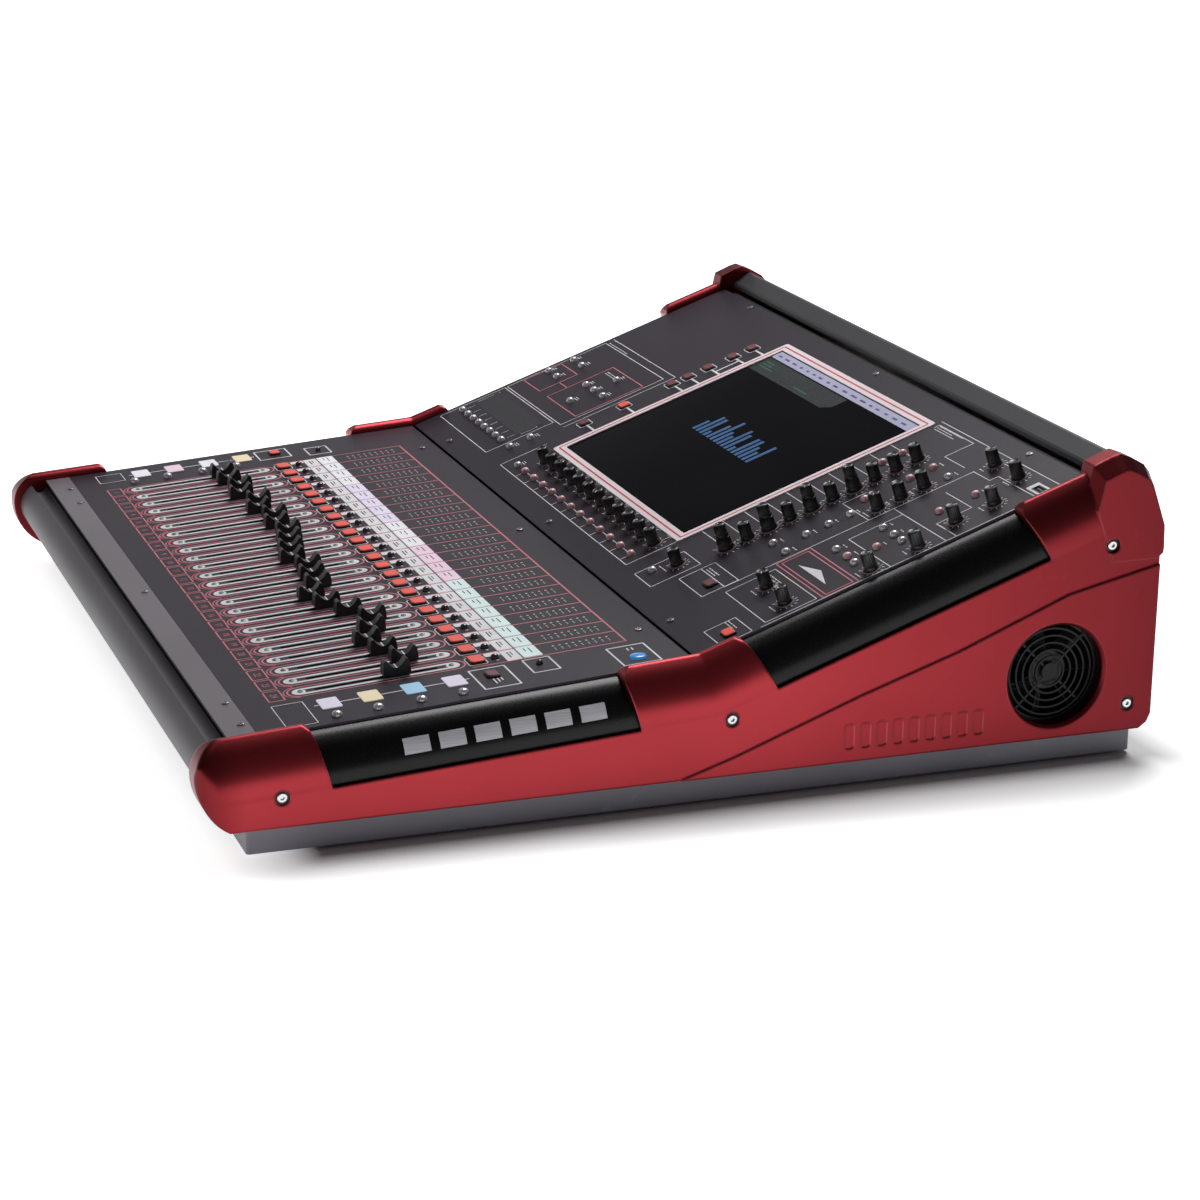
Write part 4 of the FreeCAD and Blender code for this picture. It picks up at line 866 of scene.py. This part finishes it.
def make_display():
    red = Kit()
    out = 5.5                      # the red line's middle outside the glass
    loop = rounded(-GLASS_HALF - out, GLASS_HALF + out, GLASS_V0 - out, GLASS_V1 + out, 1.5)
    red.outline(loop, 1.6, 0.9, 1.12)
    red.build("display_frame_line", SCREEN_DECK, FRAME_RED, ROOT, "bezel_print")
    rng = random.Random(7)
    z0, z1 = -0.5, -0.25
    bar = Kit()
    bar.box(-GLASS_HALF + 1, GLASS_HALF - 1, GLASS_V1 - 13.5, GLASS_V1 - 1, z0, z1)
    bar.build("screen_toolbar", SCREEN_DECK, SCREEN_BAR, ROOT, "screen_glass")
    dash = Kit()
    x = -GLASS_HALF + 8
    while x < GLASS_HALF - 14:
        width = rng.uniform(5, 13)
        dash.box(x, x + width, GLASS_V1 - 8.8, GLASS_V1 - 6.4, z1 - 0.1, z1 + 0.08)
        x += width + rng.uniform(8, 13)
    dash.build("screen_toolbar_marks", SCREEN_DECK, SCREEN_DASH, ROOT, "screen_glass")
    pane = Kit()
    pane.prism([(-GLASS_HALF + 1, 298), (18, 298), (30, 306), (30, 323), (-GLASS_HALF + 1, 323)], z0, z1)
    pane.build("screen_pane", SCREEN_DECK, SCREEN_PANE, ROOT, "screen_glass")
    lines, levels = Kit(), Kit()
    left = -GLASS_HALF + 8
    for k in range(3):
        v = 316 - 4.5 * k
        lines.box(left, left + rng.uniform(18, 40), v, v + 1.4, z1 - 0.1, z1 + 0.08)
    lines.box(-60, -28, 303.5, 305, z1 - 0.1, z1 + 0.08)
    lines.build("screen_lines_green", SCREEN_DECK, SCREEN_GREEN, ROOT, "screen_glass")
    # a plain row of level bars in the middle of the picture
    for k in range(16):
        height = 8 + 34 * abs(math.sin(0.9 * k + 0.4)) * rng.uniform(0.6, 1.0)
        x = -72 + 9 * k
        levels.box(x, x + 5.4, 196, 196 + height, z0, z1)
    levels.build("screen_level_bars", SCREEN_DECK, SCREEN_BLUE, ROOT, "screen_glass")


# ------------------------------------------------------------------ side trim inlays
def arc_centre(a, b, c):
    """Centre of the circle through three (x, z) points."""
    d = 2 * (a[0] * (b[1] - c[1]) + b[0] * (c[1] - a[1]) + c[0] * (a[1] - b[1]))
    sq = [p[0] ** 2 + p[1] ** 2 for p in (a, b, c)]
    ux = (sq[0] * (b[1] - c[1]) + sq[1] * (c[1] - a[1]) + sq[2] * (a[1] - b[1])) / d
    uz = (sq[0] * (c[0] - b[0]) + sq[1] * (a[0] - c[0]) + sq[2] * (b[0] - a[0])) / d
    return ux, uz


def make_inlays():
    """Six plain silver blocks let into each black side trim."""
    low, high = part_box("right_trim")
    x_in, x_out = low[0] / MM, high[0] / MM
    top, bottom = -2.3, -41.7
    turn = math.cos(math.radians(45))
    middle = (x_in + (x_out - x_in) * turn, bottom + (top - bottom) * turn)
    cx, cz = arc_centre((x_in, top), middle, (x_out, bottom))
    radius = math.hypot(x_in - cx, top - cz)
    for side, name in ((1, "right"), (-1, "left")):
        kit = Kit()
        for block in range(6):
            v0 = -262 + 30 * block
            v1 = v0 + 22
            steps = 6
            points = []
            for v in (v0, v1):
                for lift in (-0.4, 0.22):
                    for k in range(steps + 1):
                        angle = math.radians(16 + 22 * k / steps)
                        r = radius + lift
                        points.append((side * (cx + r * math.cos(angle)), v, cz + r * math.sin(angle)))
            n = steps + 1
            faces = []
            for k in range(steps):
                faces.append([k, k + 1, 2 * n + k + 1, 2 * n + k])
                faces.append([n + k, 3 * n + k, 3 * n + k + 1, n + k + 1])
                faces.append([k, n + k, n + k + 1, k + 1])
                faces.append([2 * n + k, 2 * n + k + 1, 3 * n + k + 1, 3 * n + k])
            faces.append([0, 2 * n, 3 * n, n])
            faces.append([n - 1, 2 * n - 1, 4 * n - 1, 3 * n - 1])
            kit.add(points, faces)
        kit.build("trim_inlay_" + name, FADER_DECK, INLAY, ROOT, "screw_steel")


# frame y and z of each cheek screw, and how far the painted shade ring at the bottom of its well sits
# inside the widest point
CHEEK_WELL_SHADE = [(-356.6, 51.8, 3.8), (25.6, 75.4, 3.8), (371.7, 194.8, 3.8), (394.3, 50.9, 2.2)]


def make_well_shade():
    """Painted shade: dark rings at the bottom of the screw wells in the cheeks, where shade falls in the
    wells.
    """
    half = cad_bounds[1][0] / MM
    for side, name in ((1, "right"), (-1, "left")):
        kit = Kit()
        for y, z, depth in CHEEK_WELL_SHADE:
            loops = []
            for radius in (6.2, 4.7):
                loops.append([(y + radius * math.cos(math.radians(15 * k)),
                               z + radius * math.sin(math.radians(15 * k))) for k in range(24)])
            kit.frame(loops[0], loops[1], half - depth + 0.05, half - depth + 0.6)
        upright = Matrix(((0, 0, side, 0), (1, 0, 0, 0), (0, 1, 0, 0), (0, 0, 0, 1))) @ FLAT
        kit.build("cheek_well_shade_" + name, upright, DARK_PRINT_AND_SHADE, ROOT, "screw_steel")


# ------------------------------------------------------------------ rear details
def make_rear_print():
    """White ruled lines over the rear sockets."""
    _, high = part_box("rear_panel")
    face_y = high[1] / MM
    upright = Matrix.Translation((0, face_y * MM, 0)) @ Matrix.Rotation(math.radians(90), 4, "X") @ FLAT
    kit = Kit()
    for z in (142.0, 100.0):
        for i in range(12):
            x = -385.0 + 30 * i
            kit.box(x - 9, x + 9, z + 17.2, z + 18.2, -0.15, 0.1)
    for i in range(8):
        x = 15.0 + 30 * i
        kit.box(x - 9, x + 9, 159.2, 160.2, -0.15, 0.1)
    kit.build("rear_print", upright, PRINT_WHITE, ROOT, "rear_black")


# ------------------------------------------------------------------ stage
# how bright the studio is, from the horizon up to straight overhead: the wall behind, and the rest
WALL_STOPS = [(0.0, (0.95, 0.95, 0.97)), (0.18, (0.85, 0.85, 0.87)), (0.30, (0.45, 0.45, 0.47)),
              (0.42, (0.07, 0.07, 0.075)), (1.0, (0.04, 0.04, 0.045))]
ROOM_STOPS = [(0.0, (0.7, 0.7, 0.7)), (0.03, (0.12, 0.12, 0.12)), (1.0, (0.04, 0.04, 0.045))]
WALL_SIDE = [(0.0, (1, 1, 1)), (0.45, (0, 0, 0))]
# how much the floor glows, from the console's edge outwards (metres, strength)
FLOOR_GLOW = [(0.0, 0.0), (0.03, 0.45), (0.08, 0.9), (0.16, 1.0)]
# painted shadow: the floor does not glow in a patch round the console, and its glow fades in away from it
SHADE_SHIFT = (0.025, 0.05)    # how far the dark patch under the console sits to the right and rear


def light_up_floor(material):
    """Keeps the floor white away from the console, where no light reaches it; the glow fades out towards
    the console, which paints a shadow round it.
    """
    nodes, links = material.node_tree.nodes, material.node_tree.links
    coord = nodes.new("ShaderNodeTexCoord")
    centred = nodes.new("ShaderNodeVectorMath")
    centred.operation = "SUBTRACT"
    centred.inputs[1].default_value = (*SHADE_SHIFT, 0.0)
    links.new(coord.outputs["Object"], centred.inputs[0])
    fold = nodes.new("ShaderNodeVectorMath")
    fold.operation = "ABSOLUTE"
    links.new(centred.outputs["Vector"], fold.inputs[0])
    edge = nodes.new("ShaderNodeVectorMath")
    edge.operation = "SUBTRACT"
    right, rear, _ = cad_bounds[1]
    edge.inputs[1].default_value = (right - SHADE_SHIFT[0], rear - SHADE_SHIFT[1], 1.0)
    links.new(fold.outputs["Vector"], edge.inputs[0])
    outside = nodes.new("ShaderNodeVectorMath")
    outside.operation = "MAXIMUM"
    links.new(edge.outputs["Vector"], outside.inputs[0])
    distance = nodes.new("ShaderNodeVectorMath")
    distance.operation = "LENGTH"
    links.new(outside.outputs["Vector"], distance.inputs[0])
    glow = ramp(nodes, links, distance.outputs["Value"], [(at, (value,) * 3) for at, value in FLOOR_GLOW])
    shader = nodes["Principled BSDF"]
    shader.inputs["Emission Color"].default_value = (1, 1, 1, 1)
    links.new(glow.outputs["Color"], shader.inputs["Emission Strength"])


def make_stage():
    size = 12.0
    mesh = bpy.data.meshes.new("floor")
    corners = [(-size, -size, 0), (size, -size, 0), (size, size, 0), (-size, size, 0)]
    mesh.from_pydata(corners, [], [(0, 1, 2, 3)])
    floor = bpy.data.objects.new("floor", mesh)
    bpy.context.scene.collection.objects.link(floor)
    floor_finish = surface("floor_pale", (0.86, 0.86, 0.86), 0.7, spread=0.01, patch=1, grain=300,
                           bump=0.01)
    light_up_floor(floor_finish)
    mesh.materials.append(floor_finish)

    world = bpy.data.worlds.new("studio")
    bpy.context.scene.world = world
    world.use_nodes = True
    nodes, links = world.node_tree.nodes, world.node_tree.links
    coord = nodes.new("ShaderNodeTexCoord")
    split = nodes.new("ShaderNodeSeparateXYZ")
    links.new(coord.outputs["Generated"], split.inputs["Vector"])
    wall = ramp(nodes, links, split.outputs["Z"], WALL_STOPS)
    room = ramp(nodes, links, split.outputs["Z"], ROOM_STOPS)
    turn = nodes.new("ShaderNodeMath")
    turn.operation = "ADD"
    turn.inputs[1].default_value = 1.0
    links.new(split.outputs["X"], turn.inputs[0])
    side = ramp(nodes, links, turn.outputs["Value"], WALL_SIDE)
    sky = nodes.new("ShaderNodeMix")
    sky.data_type = "RGBA"
    links.new(side.outputs["Color"], sky.inputs["Factor"])
    links.new(room.outputs["Color"], sky.inputs["A"])
    links.new(wall.outputs["Color"], sky.inputs["B"])
    backdrop = nodes["Background"]
    links.new(sky.outputs["Result"], backdrop.inputs["Color"])
    backdrop.inputs["Strength"].default_value = 1.0
    view = bpy.context.scene.view_settings
    view.view_transform = "Standard"
    view.look = "None"
    view.exposure = 0.0


def area_light(name, place, target, size, power, colour=(1, 1, 1)):
    light = bpy.data.lights.new(name, "AREA")
    light.shape = "RECTANGLE"
    light.size, light.size_y = size
    light.energy = power
    light.color = colour
    holder = bpy.data.objects.new(name, light)
    holder.location = place
    holder.rotation_mode = "QUATERNION"
    holder.rotation_quaternion = (Vector(target) - Vector(place)).to_track_quat("-Z", "Y")
    bpy.context.scene.collection.objects.link(holder)


def make_lights():
    area_light("key_softbox", (-1.3, 1.0, 2.8), (0, 0, 0), (1.7, 1.7), 85)
    area_light("overhead_softbox", (-0.3, 0.1, 3.2), (0, 0, 0), (2.6, 2.4), 3)


CAMERA_PLACE = Vector((2.656, -0.8956, 0.9285))
CAMERA_TARGET = Vector((0.1453, 0.0067, 0.100))
CAMERA_ROLL = 0.011
CAMERA_LENS = 92.15
CAMERA_SENSOR = 36.0


def make_camera():
    camera = bpy.data.cameras.new("camera")
    camera.lens = CAMERA_LENS
    camera.sensor_width = CAMERA_SENSOR
    camera.shift_x = 0.00816
    camera.shift_y = -0.00738
    holder = bpy.data.objects.new("camera", camera)
    forward = (CAMERA_TARGET - CAMERA_PLACE).normalized()
    right = forward.cross(Vector((0, 0, 1))).normalized()
    up = right.cross(forward)
    turned_right = right * math.cos(CAMERA_ROLL) + up * math.sin(CAMERA_ROLL)
    turned_up = up * math.cos(CAMERA_ROLL) - right * math.sin(CAMERA_ROLL)
    axes = Matrix((turned_right, turned_up, -forward)).transposed()
    holder.matrix_world = Matrix.Translation(CAMERA_PLACE) @ axes.to_4x4()
    bpy.context.scene.collection.objects.link(holder)
    bpy.context.scene.camera = holder


make_camera()
make_stage()
make_lights()
make_fader_caps()
make_fader_deck_keys()
make_windows()
make_knobs()
make_domes()
make_screen_keys()
print_fader_deck()
print_screen_deck()
make_display()
make_inlays()
make_well_shade()
make_rear_print()
